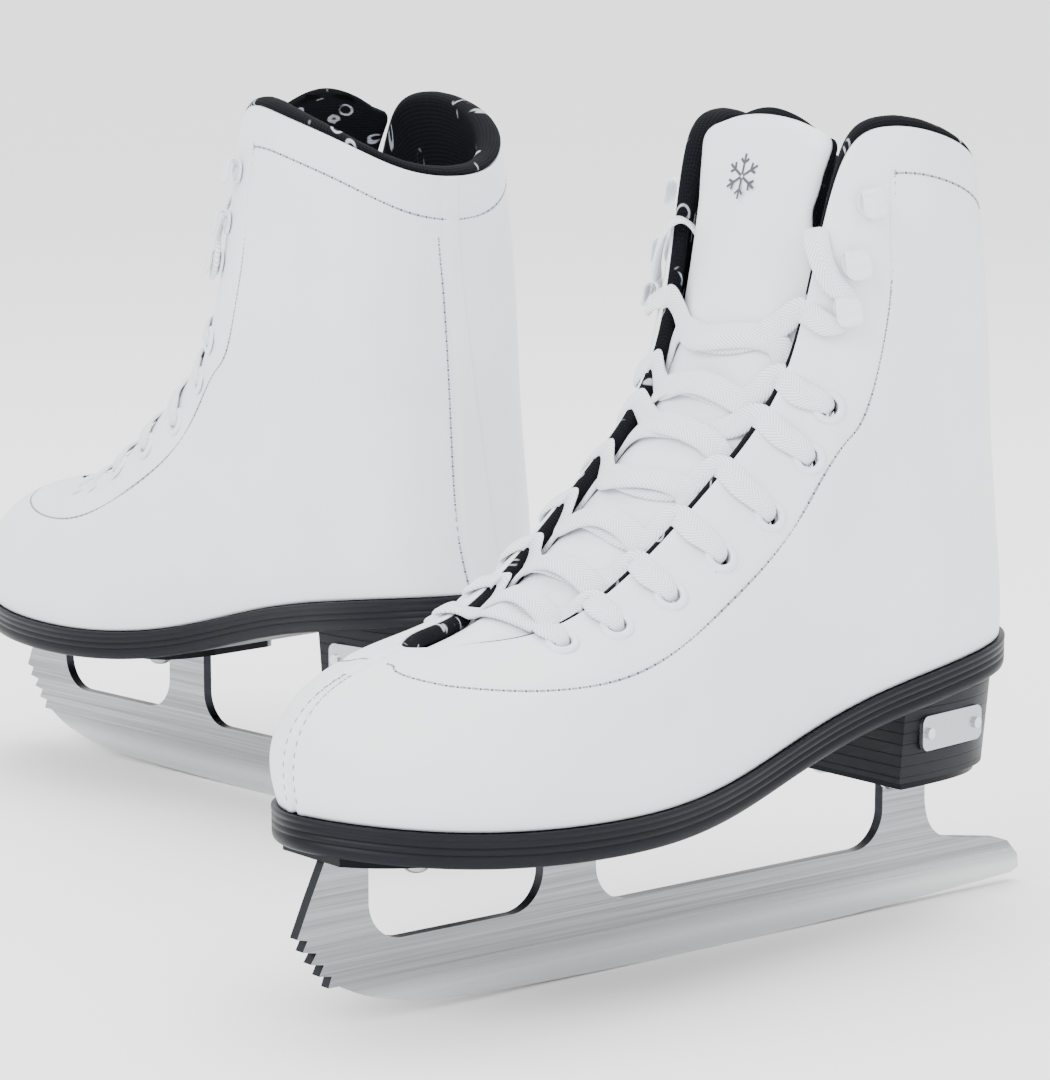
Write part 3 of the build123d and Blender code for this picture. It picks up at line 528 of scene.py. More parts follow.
def plain_metal(name, colour, shade, roughness, grain):
    """Plated or polished fitting: fine random scratches over a slightly uneven shine."""
    material, tree, shader = start_material(name, Metallic=1.0)
    at = add_node(tree, "TexCoord").outputs["Object"]
    scuff = add_node(tree, "TexNoise", {"Vector": at, "Scale": 1 / grain, "Detail": 5.0}).outputs["Fac"]
    tone = add_node(tree, "Mix", {0: scuff, 6: linear(shade), 7: linear(colour)}, data_type="RGBA")
    gloss = add_node(tree, "MapRange", {0: scuff, 1: 0.3, 2: 0.7, 3: roughness * 0.8, 4: roughness * 1.25})
    relief = add_node(tree, "Bump", {"Strength": 0.1, "Distance": 0.00005, "Height": scuff})
    plug(tree, shader, Base_Color=tone.outputs[2], Roughness=gloss.outputs[0], Normal=relief.outputs[0])
    return material


def baked_enamel(colour):
    """White stoving enamel on pressed steel: thick, glossy, very slightly orange-peeled."""
    material, tree, shader = start_material("baked_enamel", IOR=1.5, Coat_Weight=0.4, Coat_Roughness=0.1)
    at = add_node(tree, "TexCoord").outputs["Object"]
    # Orange peel about 1.5 mm across.
    peel = add_node(tree, "TexNoise", {"Vector": at, "Scale": 1 / 0.0015, "Detail": 2.0}).outputs["Fac"]
    tone = add_node(tree, "Mix", {0: peel, 6: linear(colour), 7: linear("#D4D8DE")}, data_type="RGBA")
    gloss = add_node(tree, "MapRange", {0: peel, 1: 0.3, 2: 0.7, 3: 0.22, 4: 0.32})
    relief = add_node(tree, "Bump", {"Strength": 0.15, "Distance": 0.00008, "Height": peel})
    plug(tree, shader, Base_Color=tone.outputs[2], Roughness=gloss.outputs[0], Normal=relief.outputs[0])
    return material


def fibre_stuff(name, colour, shade, thread, roughness=0.9):
    """Board, felt, foam and stiffening cloth that the upper hides: matted fibres of one size."""
    material, tree, shader = start_material(name, IOR=1.5, Roughness=roughness)
    at = add_node(tree, "TexCoord").outputs["Object"]
    fibre = add_node(tree, "TexNoise", {"Vector": at, "Scale": 1 / thread, "Detail": 6.0,
                                        "Distortion": 1.5}).outputs["Fac"]
    tone = add_node(tree, "Mix", {0: fibre, 6: linear(colour), 7: linear(shade)}, data_type="RGBA")
    relief = add_node(tree, "Bump", {"Strength": 0.4, "Distance": thread / 4, "Height": fibre})
    plug(tree, shader, Base_Color=tone.outputs[2], Normal=relief.outputs[0])
    return material


def give_material(material, *nodes):
    """Puts a material on CAD nodes of both skates."""
    for name in nodes:
        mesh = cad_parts[name].data
        mesh.materials.clear()
        mesh.materials.append(material)


# ---- settings ----
class SkateSizes(bpy.types.PropertyGroup):
    columns: IntProperty(
        name="Columns", description="Columns of faces along each side of a boot", default=118, min=60,
        max=400)
    stitch_pitch: FloatProperty(
        name="Stitch pitch", description="From one needle hole to the next", default=0.0031, min=0.0015,
        max=0.008, unit="LENGTH")
    piping: FloatProperty(
        name="Facing piping", description="How far the lining rolls past the facing edge", default=0.0030,
        min=0.001, max=0.006, unit="LENGTH")
    collar: FloatProperty(
        name="Collar roll", description="How far the padded lining rolls past the collar edge",
        default=0.0036, min=0.002, max=0.01, unit="LENGTH")
    lace_width: FloatProperty(
        name="Lace width", description="Width of the flat lace", default=0.0078, min=0.004, max=0.012,
        unit="LENGTH")
    lace_thickness: FloatProperty(
        name="Lace thickness", description="Thickness of the flat lace", default=0.0014, min=0.0006,
        max=0.003, unit="LENGTH")
    padding: FloatProperty(
        name="Tongue padding", description="How far the tongue swells between its edges", default=0.0016,
        min=0.0, max=0.004, unit="LENGTH")


class SkateColours(bpy.types.PropertyGroup):
    leather: StringProperty(
        name="Leather", description="Colour of the upper, as sRGB hex", default="#E6E8EC")
    lining: StringProperty(
        name="Lining", description="Colour of the lining's yarn, as sRGB hex", default="#07080C")
    lace: StringProperty(name="Lace", description="Colour of the lace, as sRGB hex", default="#F2F4F7")
    thread: StringProperty(
        name="Thread", description="Colour of the stitches, as sRGB hex", default="#A3A6AE")
    sole: StringProperty(
        name="Sole", description="Colour of the sole and heel, as sRGB hex", default="#07080D")
    steel: StringProperty(name="Steel", description="Colour of the blade, as sRGB hex", default="#9B9D9F")
    enamel: StringProperty(
        name="Enamel", description="Colour of eyelets and hooks, as sRGB hex", default="#E4E7EC")
    floor: StringProperty(name="Floor", description="Colour of the floor, as sRGB hex", default="#FFFFFF")


def sizes():
    return bpy.context.scene.skate_sizes


def colours():
    return bpy.context.scene.skate_colours


# ---- boots ----
def facing_level(s):
    """Level of the facing stitch, which bends upwards round the toe end of the facing."""
    first, last = FACING_STITCH[0], FACING_STITCH[-1]
    facing = curve(FACING_STITCH, np.clip(s, first[0], last[0]))[:, 0]
    return np.where(s < TOE_RISE, first[1] + (TOE_RISE - s) * 0.28, facing)


def seam_level(s):
    """Level of the row of faces that follows the facing stitch, then the collar stitch."""
    level = facing_level(s)
    return level + (below_edge(1, s, COLLAR_STITCH) - level) * ease(s, 8.55, 9.1)


def back_seam(v):
    """Station of the back seam, which lies on the inner side and runs to the middle upwards."""
    return 12.25 + 0.5 * ease(v, 0.9, 3.0)


def boot_stations():
    near = np.linspace(0, 0.3, 9)
    run = np.linspace(0.3, 12.0, sizes().columns)[1:-1]
    back = np.linspace(12.0, HEEL, 23)
    return np.concatenate([near, run, back])


def boot_levels(s):
    """Levels for each station, with close rows at the stitch lines, as stations by rows."""
    seam = seam_level(s)[:, None]
    step = upper(1, s, seam[:, 0]) - upper(1, s, seam[:, 0] - 0.1)
    mm = 0.1 / np.linalg.norm(step, axis=-1)[:, None]
    low = np.linspace(0, 1, 44)[None, :] * (seam - 2.4 * mm)
    groove = seam + np.array([-1.6, -0.8, 0.0, 0.8, 1.6])[None, :] * mm
    rise = seam + 2.4 * mm
    last = TOP - 0.6 * mm
    high = rise + (last - rise) * np.linspace(0, 1, 20)[None, :]
    return np.concatenate([low, groove, high], axis=1), seam, mm


def boot_swell(side, s, v, seam, mm):
    """How far the leather stands off its plain shape: seams, back strip, soft creases at the ankle."""
    lift = -0.30 * bump((v - seam) / mm, 0, 0.9)
    lift += 0.30 * ease((v - seam) / mm, 0.5, 3.5) * (1 - ease(s, 9.0, 9.6)) * ease(s, 0.0, 0.8)
    if side < 0:
        lift += 0.35 * ease(s - back_seam(v), -0.05, 0.02) - 0.2 * bump(s - back_seam(v), -0.05, 0.04)
    reach = np.abs(upper(side, s, v)[..., 1])
    toe = 1 - ease(s, 1.2, 2.4)
    lift += toe * (-0.9 * bump(reach, 0, 0.9) + 0.28 * bump(reach, 2.3, 1.6))
    crease = np.sin(s * 9.0 + v * 4.0) * bump(s, 6.2, 1.1) * bump(v, 1.9, 0.7)
    lift += 0.16 * crease + 0.12 * np.sin(s * 5.0 + 1.0) * np.sin(v * 4.2) * ease(s, 2.0, 4.0)
    return lift


def make_boot(skate, material):
    surface = Surface()
    for side in (1, -1):
        s = boot_stations()
        v, seam, mm = boot_levels(s)
        ss = np.broadcast_to(s[:, None], v.shape)
        outer = upper(side, ss, v, -boot_swell(side, ss, v, seam, mm))
        top = np.broadcast_to(s[:, None], (len(s), 5))
        turn = np.linspace(0, np.pi, 5)[None, :]
        depth = (LEATHER / 2) * (1 - np.cos(turn)) + np.zeros_like(top)
        rim = upper(side, top, TOP, depth - 0.1, 0.45 * np.sin(turn) + np.zeros_like(top))
        down = np.linspace(TOP - 0.1, 0.02, 12)[None, :] + np.zeros((len(s), 12))
        inner = upper(side, np.broadcast_to(s[:, None], down.shape), down, LEATHER)
        sheet = np.concatenate([outer, rim, inner], axis=1)
        order = sheet if side < 0 else sheet[::-1]
        surface.grid(order, flat_map(order), closed_columns=True)
    spots = np.array([upper(side, *spot) for side in (1, -1) for spot in EYELETS])

    def in_a_hole(middles):
        reach = np.linalg.norm(middles[:, None, :] - spots[None], axis=2).min(axis=1)
        return reach < EYELET_CLEAR

    return surface.build("boot_leather", skate, material, in_a_hole)


def make_lining(skate, material):
    surface = Surface()
    for side in (1, -1):
        s = np.linspace(0, HEEL, 110)[:, None]
        down = np.linspace(LINING_FOOT, 3.97, 36)[None, :]
        ss, vv = np.broadcast_arrays(s, down)
        hollow = 0.35 * np.sin(ss * 6.0) * bump(vv, 3.0, 0.6) * ease(ss, 8.0, 9.0)
        inside = upper(side, ss, vv, lining_depth(ss, vv) + LINING + hollow)
        turn = np.linspace(0, np.pi, 13)[None, :]
        skin = 0.15  # between the leather's outer face and the roll
        fat = (lining_depth(s, TOP) + LINING - skin) / 2
        rise = (sizes().piping + (sizes().collar - sizes().piping) * ease(s, 7.8, 9.4)) / MM
        rise = rise * (0.25 + 0.75 * ease(s, 0.2, 1.2))
        pucker = 1 + 0.012 * np.sin(s * 38.0) * ease(s, 8.5, 9.5)
        depth = skin + fat + fat * np.cos(turn)
        roll = upper(side, s + 0 * turn, TOP, depth, rise * pucker * np.sin(turn) ** 0.8)
        back = np.linspace(TOP - 0.1, LINING_FOOT, 5)[None, :]
        hidden = upper(side, s + 0 * back, back + 0 * s, lining_depth(s, back) + 0.02)
        sheet = np.concatenate([inside, roll[:, :-1], hidden], axis=1)
        order = sheet[::-1] if side < 0 else sheet
        surface.grid(order, flat_map(order), closed_columns=True)
    return surface.build("rolled_lining", skate, material)


# ---- tongue ----
def tongue_rows(q):
    """Net across the lower tongue: tucked edge, gap edge, middle, and the same on the other side."""
    rows = np.asarray(TONGUE, float)
    s = np.interp(q, range(len(rows)), rows[:, 0])
    back, z = curve([(i, r[1], r[2]) for i, r in enumerate(TONGUE)], q).T
    clear = 1.2 + LINING_OUT_VAMP + LINING + (FOAM + LAYER_GAP) * ease(s, 6.3, 7.6) * 0.6
    middle = np.stack([-back, 0 * back, z], axis=1)
    net = np.stack([upper(1, s, 3.62, clear + 0.6), upper(1, s, 3.98, clear), middle,
                    upper(-1, s, 3.98, clear), upper(-1, s, 3.62, clear + 0.6)], axis=1)
    across = spline_weights(np.array([-2, -1.35, 0, 1.35, 2]), np.linspace(-2, 2, 25))
    return np.einsum("cp,rpk->rck", across, net)


def flap_rows(z):
    back, half, set_back = curve(FLAP, z).T
    w = np.linspace(-1, 1, 25)[None, :]
    x = -(back[:, None] + set_back[:, None] * w * w)
    drop = 3.0 * w * w * ease(z, 225, 244)[:, None]
    return np.stack([x, -half[:, None] * w * (1 - 0.03 * w * w), z[:, None] - drop], axis=2)


def tongue_face():
    """Outer face of the whole tongue, from under the vamp to its top edge."""
    low = tongue_rows(np.linspace(0, 5.5, 34))
    high = flap_rows(np.linspace(216, 244, 16))
    steps = np.concatenate([np.linspace(0, 30, 34), 39 + np.linspace(0, 15, 16)])
    keys = np.concatenate([low[::3], high[::3]])
    at = np.concatenate([steps[:34][::3], steps[34:][::3]])
    steps = np.linspace(0, 54, 72)
    grid = np.einsum("rk,kcd->rcd", spline_weights(at, steps), keys)
    corner = np.clip((steps - 49.4) / 4.6, 0, 1)
    grid[..., 1] *= (1 - 0.30 * (1 - np.sqrt(1 - 0.96 * corner**2)))[:, None]
    return grid


def face_normals(grid):
    normal = unit(np.cross(np.gradient(grid, axis=0), np.gradient(grid, axis=1)))
    return normal * np.sign(normal[..., 2].mean() + 1e-9)


def tongue_layers(surface, grid, top, bottom, round_edge):
    """Closed padded layer under a net, from depth top to depth bottom, thinner at its rim."""
    rows, columns = grid.shape[:2]
    normal = face_normals(grid)
    w = np.linspace(-1, 1, columns)[None, :]
    r = np.linspace(0, 1, rows)[:, None]
    thin = (1 - np.clip(np.abs(w), 0, 1) ** 9) * (1 - r ** 26)
    thin = 1 - (1 - thin) * round_edge
    middle = (top + bottom) / 2
    swell = sizes().padding / MM * (1 - w**4) * ease(r, 0.72, 0.82) * (1 - ease(r, 0.94, 1.0))
    upper_depth = middle + (top - middle) * thin - (swell if top <= 0 else 0)
    lower_depth = middle + (bottom - middle) * thin
    face = grid - normal * upper_depth[..., None]
    under = grid - normal * lower_depth[..., None]
    loop = np.concatenate([face, under[:, ::-1]], axis=1)
    surface.tube(loop, flat_map(loop))


def bend_with_flap(piece):
    """Bakes the piece's placement into its mesh; the cloth is not bent over the fold."""
    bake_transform(piece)


def make_tongue(skate, leather, lining):
    grid = tongue_face()
    front = Surface()
    tongue_layers(front, grid, 0.0, 3.9, 0.75)
    face = front.build("padded_tongue", skate, leather)
    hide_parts(f"{skate}_tongue", f"{skate}_tongue_flap")
    # The lining stands 2.6 mm past the white face at the top, and rolls round its edge.
    onward = unit(grid[-1:] - grid[-3:-2])
    tall = np.concatenate([grid, grid[-1:] + onward * 1.3, grid[-1:] + onward * 2.6])
    widen = 1 + 0.02 * ease(np.linspace(0, 1, len(tall)), 0.7, 0.85)
    tall[..., 1] *= widen[:, None]
    behind = Surface()
    tongue_layers(behind, tall, 2.6, 5.3, 0.6)
    back = behind.build("padded_tongue_back", skate, lining)
    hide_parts(f"{skate}_tongue_lining", f"{skate}_flap_lining")
    for piece in (face, back):
        bend_with_flap(piece)


def make_tongue_mark(skate, material):
    """Plain six-armed frost mark printed on the tongue top."""
    surface = Surface()
    centre, size, bar = np.array([0.0, 226.0]), 6.5, 0.8
    for k in range(6):
        arm = math.radians(60 * k + 30)
        d = np.array([math.cos(arm), math.sin(arm)])
        bars = [(0.08 * d, d)]
        for turn in (-1, 1):
            twig = arm + turn * math.radians(52)
            bars.append((0.58 * d, 0.58 * d + 0.32 * np.array([math.cos(twig), math.sin(twig)])))
        for start, end in bars:
            line = np.linspace(start, end, 6) * size
            aside = np.array([-(end - start)[1], (end - start)[0]])
            aside = aside / np.linalg.norm(aside) * (bar / 2)
            flat = np.stack([line + aside, line - aside], axis=1) + centre
            z = flat[..., 1]
            back, half, set_back = [a.reshape(z.shape) for a in curve(FLAP, z.ravel()).T]
            w = flat[..., 0] / half
            x = -(back + set_back * w * w) + sizes().padding / MM * (1 - w**4) + 0.22
            surface.grid(np.stack([x, flat[..., 0], z], axis=2))
    mark = surface.build("tongue_mark", skate, material)
    bend_with_flap(mark)


# ---- stitching ----
def stitch_runs():
    """Lines of needle holes, as rows of (side, station, level, lift)."""
    runs = []
    for side in (1, -1):
        s = np.linspace(0.5, 9.12, 240)
        runs.append((side, s, facing_level(s), -0.25))
        s = np.linspace(9.08, HEEL, 120)
        runs.append((side, s, below_edge(1, s, COLLAR_STITCH), -0.25))
    v = np.linspace(0.1, 3.42, 90)
    runs.append((-1, back_seam(v) - 0.17, v, 0.0))
    v = np.linspace(0.25, 3.35, 60)
    return runs + [(side, np.full(60, 0.135), v, 0.1) for side in (1, -1)]


def make_stitches(skate, material, hole_shade_material):
    threads, holes = Surface(), Surface()
    pitch = sizes().stitch_pitch / MM
    for side, s, v, lift in stitch_runs():
        path = upper(side, s, v)
        normal = outward(side, s, v)
        run = np.concatenate([[0], np.cumsum(np.linalg.norm(np.diff(path, axis=0), axis=1))])
        for k in range(int(run[-1] / pitch)):
            at = (k + np.array([0.12, 0.26, 0.5, 0.74, 0.88])) * pitch
            line = np.stack([np.interp(at, run, path[:, i]) for i in range(3)], axis=1)
            out = unit(np.stack([np.interp(at, run, normal[:, i]) for i in range(3)], axis=1))
            across = unit(np.cross(np.gradient(line, axis=0), out))
            high = lift + np.array([-0.35, 0.05, 0.16, 0.05, -0.35])
            line = line + out * high[:, None]
            angle = round_angles(5)
            ring = (np.cos(angle)[None, :, None] * across[:, None] * 0.30 +
                    np.sin(angle)[None, :, None] * out[:, None] * 0.20)
            threads.tube(line[:, None] + ring)
            middle = np.array([np.interp(k * pitch, run, path[:, i]) for i in range(3)])
            o, a = out[0], across[0]
            b = np.cross(o, a)
            # Painted shade: a small dark plug at each needle hole stands for the shade inside the hole.
            rims = [[middle + o * (lift + h) + (np.cos(t) * a + np.sin(t) * b) * r for t in round_angles(7)]
                    for h, r in ((-0.3, 0.42), (0.10, 0.40))]
            holes.tube(np.array(rims))
    sewn = threads.build("stitches", skate, material)
    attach(sewn, f"{skate}_skate")
    hole_shade_plugs = holes.build("needle_hole_painted_shades", skate, hole_shade_material)
    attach(hole_shade_plugs, f"{skate}_skate")


# ---- lace ----
def band(surface, points, normals, pinch=None, count=12):
    """Flat lace through a few points, as a soft-edged ribbon. pinch narrows it at each point."""
    points, normals = np.asarray(points, float), unit(np.asarray(normals, float))
    n = len(points)
    knots = np.concatenate([[0], np.cumsum(np.linalg.norm(np.diff(points, axis=0), axis=1))])
    t = np.linspace(0, knots[-1], count * (n - 1))
    weights = spline_weights(knots, t)
    line = weights @ points
    face = unit(np.stack([np.interp(t, knots, normals[:, i]) for i in range(3)], axis=1))
    run = unit(np.gradient(line, axis=0))
    across = unit(np.cross(run, face))
    face = np.cross(across, run)
    share = np.ones(len(t)) if pinch is None else np.interp(t, knots, pinch)
    width, thick = sizes().lace_width / MM, sizes().lace_thickness / MM
    angle, share = round_angles(14), share[:, None]
    c, s = squared(np.cos(angle), 0.45)[None], squared(np.sin(angle), 0.8)[None]
    cup = 0.28 * (c**2 - 0.5)
    aside, high = c * width / 2 * share, s * thick / 2 * (2 - share) - cup
    loops = line[:, None] + across[:, None] * aside[..., None] + face[:, None] * high[..., None]
    uv = np.stack([np.broadcast_to(c * width / 2 * MM, loops.shape[:2]),
                   np.broadcast_to(t[:, None] * MM, loops.shape[:2])], axis=2)
    surface.tube(loops, uv)


def tongue_at(grid, s, w):
    """Point of the tongue's face beside station s, w from -1 to 1 across it, and its normal."""
    q = np.interp(s, [r[0] for r in TONGUE], range(len(TONGUE)))
    target = tongue_rows(np.array([q]))[0, 12]
    row = int(np.argmin(np.linalg.norm(grid[:, 12] - target, axis=1)))
    column = int(round(12 - w * 12))
    return grid[row, column], face_normals(grid)[row, column]


def edge_station(side, spot):
    """Station where the facing edge passes nearest to a point of the upper."""
    s = np.linspace(0, 9.5, 381)
    reach = np.linalg.norm(upper(side, s, TOP) - spot, axis=-1)
    return float(s[int(np.argmin(reach))])


def over_edge(side, spot, edge, share, lift):
    """Point between a spot on the upper and a station of the facing edge, held clear of the leather."""
    (s, v), q = spot, share
    return upper(side, s + (edge - s) * q, v + (TOP - v) * q, -lift)


def crossing(surface, grid, low, high, side, lift):
    """Lace that comes out under one facing, crosses the tongue and goes down into an eyelet."""
    s1, v1 = high
    e0 = edge_station(side, upper(side, *low)) + 0.12
    e1 = edge_station(-side, upper(-side, *high))
    n0, n1 = outward(side, e0, 3.9), outward(-side, e1, 3.9)
    ne, nm2 = outward(-side, s1, v1), outward(-side, (s1 + e1) / 2, 3.7)
    mid = (e0 + e1) / 2
    a, na = tongue_at(grid, e0 + (mid - e0) * 0.5, 0.46 * side)
    m, nm = tongue_at(grid, mid, 0.0)
    b, nb = tongue_at(grid, mid + (e1 - mid) * 0.6, -0.46 * side)
    inward = unit(over_edge(-side, high, e1, -0.2, 0) - upper(-side, s1, v1))
    points = [upper(side, e0 - 0.02, 3.62, 5.7), upper(side, e0, 3.97, 5.5), a + na * 1.2,
              m + nm * (1.4 + lift), b + nb * 2.2, upper(-side, e1, TOP, 1.4, sizes().piping / MM + 0.7),
              over_edge(-side, high, e1, 0.62, 1.7), over_edge(-side, high, e1, 0.28, 1.8),
              over_edge(-side, high, e1, 0.04, 1.0), upper(-side, s1, v1, 1.6) + inward * 0.5]
    normals = [n0, n0 + 0.4 * na, na, nm, nb + 0.3 * n1, n1 + nb, nm2, ne, ne + inward, inward]
    band(surface, points, normals, [0.95, 1, 1, 1, 1, 1, 1, 0.9, 0.62, 0.5])


def first_bar(surface, grid):
    (s, v), points, normals = EYELETS[0], [], []
    for side in (1, -1):
        e = edge_station(side, upper(side, s, v)) - 0.05
        n = outward(side, s, v)
        inward = unit(over_edge(side, (s, v), e, -0.2, 0) - upper(side, s, v))
        points.append([upper(side, s, v, 1.6) + inward * 0.5, over_edge(side, (s, v), e, 0.05, 1.0),
                       over_edge(side, (s, v), e, 0.35, 1.8), over_edge(side, (s, v), e, 0.7, 1.8),
                       upper(side, e, TOP, 1.4, 3.9)])
        normals.append([inward, n + inward, n, n, outward(side, e, 3.9) + np.array([0, 0, 0.5])])
    m, nm = tongue_at(grid, e + 0.05, 0.0)
    band(surface, points[0] + [m + nm * 1.3] + points[1][::-1],
         normals[0] + [nm] + normals[1][::-1], [0.5, 0.62, 0.9, 1, 1, 1, 1, 1, 0.9, 0.62, 0.5])


def top_end(surface, grid, side, lift):
    """Lace from the last eyelet over the tongue, round the lowest hook and down inside the facing."""
    hook = upper(-side, *HOOKS[0])
    normal = outward(-side, *HOOKS[0])
    edge = edge_station(-side, hook)
    toward = upper(-side, edge, TOP) - hook
    away = -unit(toward - normal * (toward @ normal))
    along = unit(np.cross(normal, away))
    along = along * np.sign(along[2])
    e0 = edge_station(side, upper(side, *EYELETS[-1])) + 0.12
    low, high = edge - 0.16, edge + 0.42
    n0, n1, n2 = outward(side, e0, 3.9), outward(-side, low, 3.9), outward(-side, high, 3.9)
    mid = (e0 + low) / 2
    m, nm = tongue_at(grid, mid, 0.0)
    a, na = tongue_at(grid, e0 + (mid - e0) * 0.5, 0.46 * side)
    b, nb = tongue_at(grid, mid + (low - mid) * 0.6, -0.46 * side)
    over = unit(upper(-side, high, TOP) - upper(-side, high, TOP - 0.1))
    round_hook = ((-4.5, -5.2, 2.5), (-0.4, -3.9, 3.0), (1.9, 0.0, 3.2), (-0.4, 3.9, 3.0), (-4.5, 5.6, 2.6))
    turn = [hook + x * away + y * along + z * normal for x, y, z in round_hook]
    points = ([upper(side, e0 - 0.02, 3.62, 5.8), upper(side, e0, 3.97, 5.6), a + na * 1.2,
               m + nm * (1.4 + lift), b + nb * 2.4, upper(-side, low, TOP, 1.4, 3.9)] + turn +
              [upper(-side, high, TOP, 1.6, 4.0), upper(-side, high + 0.03, 3.97, 7.6),
               upper(-side, high + 0.03, 3.7, 9.4)])
    normals = [n0, n0 + 0.4 * na, na, nm, nb + 0.3 * n1, n1 + nb] + [normal] * 5 + [n2 + over, over, -n2]
    band(surface, points, normals, [0.95, 1, 1, 1, 1, 1, 0.85, 0.55, 0.5, 0.55, 0.85, 1, 1, 0.9])


def make_lace(skate, material):
    grid = tongue_face()
    surface = Surface()
    first_bar(surface, grid)
    for low, high in zip(EYELETS[:-1], EYELETS[1:]):
        for side in (1, -1):
            crossing(surface, grid, low, high, side, LACE_OVER if side > 0 else 0.0)
    for side in (1, -1):
        top_end(surface, grid, side, LACE_OVER if side > 0 else 0.0)
    return surface.build("flat_lace", skate, material)


# ---- hooks ----
def make_hooks(skate, material):
    """Hooks pressed from one strip: riveted foot, tight bend towards the edge, lip over the lace."""
    surface = Surface()
    path, width = np.array(HOOK_LINE), np.array(HOOK_WIDTH) * HOOK_HALF
    knots = np.arange(len(path), dtype=float)
    t = np.linspace(0, len(path) - 1, 45)
    line, half = spline_weights(knots, t) @ path, spline_weights(knots, t) @ width
    run = unit(np.gradient(line, axis=0))
    out = np.stack([-run[:, 1], run[:, 0]], axis=1)
    angle = round_angles(16)
    c, d = squared(np.cos(angle), 0.5), squared(np.sin(angle), 0.7)
    thick = 0.6  # half of the strip's thickness
    for side in (1, -1):
        for s, v in HOOKS:
            normal = outward(side, s, v)
            away = unit(upper(side, s, v - 0.1) - upper(side, s, v))
            away = unit(away - normal * (away @ normal))
            along = np.cross(normal, away)
            origin = upper(side, s, v) + normal * 0.35
            x = line[:, None, 0] + out[:, None, 0] * d[None] * thick
            z = line[:, None, 1] + out[:, None, 1] * d[None] * thick
            y = c[None] * half[:, None]
            surface.tube(origin + x[..., None] * away + y[..., None] * along + z[..., None] * normal)
            ring = np.cos(angle)[:, None] * away + np.sin(angle)[:, None] * along
            surface.tube(np.array([origin + normal * h + r * ring for r, h in RIVET_DOME]))
    return surface.build("lace_hooks", skate, material)


# ---- sole ----
def make_sole(skate, material):
    """Unit sole with a welt lip on top, three moulded grooves in its edge and a soft lower corner."""
    s = np.linspace(0, HEEL, 105)
    sides = []
    for grow, down in SOLE_RIM:
        loops = footprint(WELT + grow, s)
        ring = np.concatenate([loops[0], loops[1][-2:0:-1]])
        z = curve(FEATHER, -ring[:, 0])[:, 0] - down
        sides.append(np.column_stack([ring, z]))
    wall = np.array(sides).transpose(1, 0, 2)
    surface = Surface()
    surface.grid(wall[::-1], flat_map(wall[::-1]), closed_rows=True)
    n = len(s)
    for down, turn in ((SOLE_RIM[0][1], 1), (SOLE_THICK, -1)):
        a, b = footprint(WELT - SOLE_LAP, s)
        q = np.linspace(0, 1, 5)[None, :, None]
        flat = a[:, None] * (1 - q) + b[:, None] * q
        z = curve(FEATHER, -flat[..., 0].ravel())[:, 0].reshape(n, 5) - down
        sheet = np.concatenate([flat, z[..., None]], axis=2)[::turn]
        surface.grid(sheet, flat_map(sheet))
    return surface.build("moulded_sole", skate, material)


# ---- operators ----
class SKATES_OT_boots(bpy.types.Operator):
    """White leather of both boots, with its seams and holes"""
    bl_idname = "skates.boots"
    bl_label = "Boots"

    def execute(self, context):
        leather = coated_leather(colours().leather)
        for skate in SKATES:
            piece = make_boot(skate, leather)
            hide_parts(f"{skate}_outer_quarter", f"{skate}_inner_quarter", f"{skate}_backstay")
            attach(piece, f"{skate}_skate")
        return {"FINISHED"}


class SKATES_OT_linings(bpy.types.Operator):
    """Padded dark linings that roll over the facings and the collar"""
    bl_idname = "skates.linings"
    bl_label = "Linings"

    def execute(self, context):
        cloth = mesh_lining(colours().lining)
        for skate in SKATES:
            piece = make_lining(skate, cloth)
            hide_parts(f"{skate}_lining")
            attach(piece, f"{skate}_skate")
        return {"FINISHED"}


class SKATES_OT_tongues(bpy.types.Operator):
    """Padded tongues with their dark backs and a plain printed mark"""
    bl_idname = "skates.tongues"
    bl_label = "Tongues"

    def execute(self, context):
        leather = bpy.data.materials["coated_leather_embossed"]
        cloth = bpy.data.materials["knitted_polyester_printed"]
        ink = fibre_stuff("screen_printed_ink", "#3A3D45", "#4A4E58", 0.0004, 0.6)
        for skate in SKATES:
            make_tongue(skate, leather, cloth)
            make_tongue_mark(skate, ink)
        return {"FINISHED"}


class SKATES_OT_stitching(bpy.types.Operator):
    """Rows of stitches along the seams, with painted shade in their needle holes"""
    bl_idname = "skates.stitching"
    bl_label = "Stitching"

    def execute(self, context):
        thread = spun_thread(colours().thread)
        # Painted shade: dark grey for the inside of the needle holes.
        shadow = fibre_stuff("needle_hole_painted_shade", "#3F424A", "#5A5D66", 0.0003)
        for skate in SKATES:
            make_stitches(skate, thread, shadow)
        return {"FINISHED"}


class SKATES_OT_laces(bpy.types.Operator):
    """Flat laces, crossed over the tongue, with the ends tucked in"""
    bl_idname = "skates.laces"
    bl_label = "Laces"

    def execute(self, context):
        braid = woven_lace(colours().lace)
        for skate in SKATES:
            piece = make_lace(skate, braid)
            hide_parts(f"{skate}_lace")
            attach(piece, f"{skate}_skate")
        return {"FINISHED"}


class SKATES_OT_fittings(bpy.types.Operator):
    """Enamelled eyelets and hooks, and the metal tips of the laces"""
    bl_idname = "skates.fittings"
    bl_label = "Eyelets and hooks"

    def execute(self, context):
        enamel = baked_enamel(colours().enamel)
        tips = plain_metal("nickel_plated_tips", "#D5D7DA", "#A9ACB0", 0.3, 0.001)
        for skate in SKATES:
            piece = make_hooks(skate, enamel)
            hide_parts(f"{skate}_hooks")
            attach(piece, f"{skate}_skate")
            give_material(enamel, f"{skate}_eyelets")
            give_material(tips, f"{skate}_lace_tips")
        return {"FINISHED"}


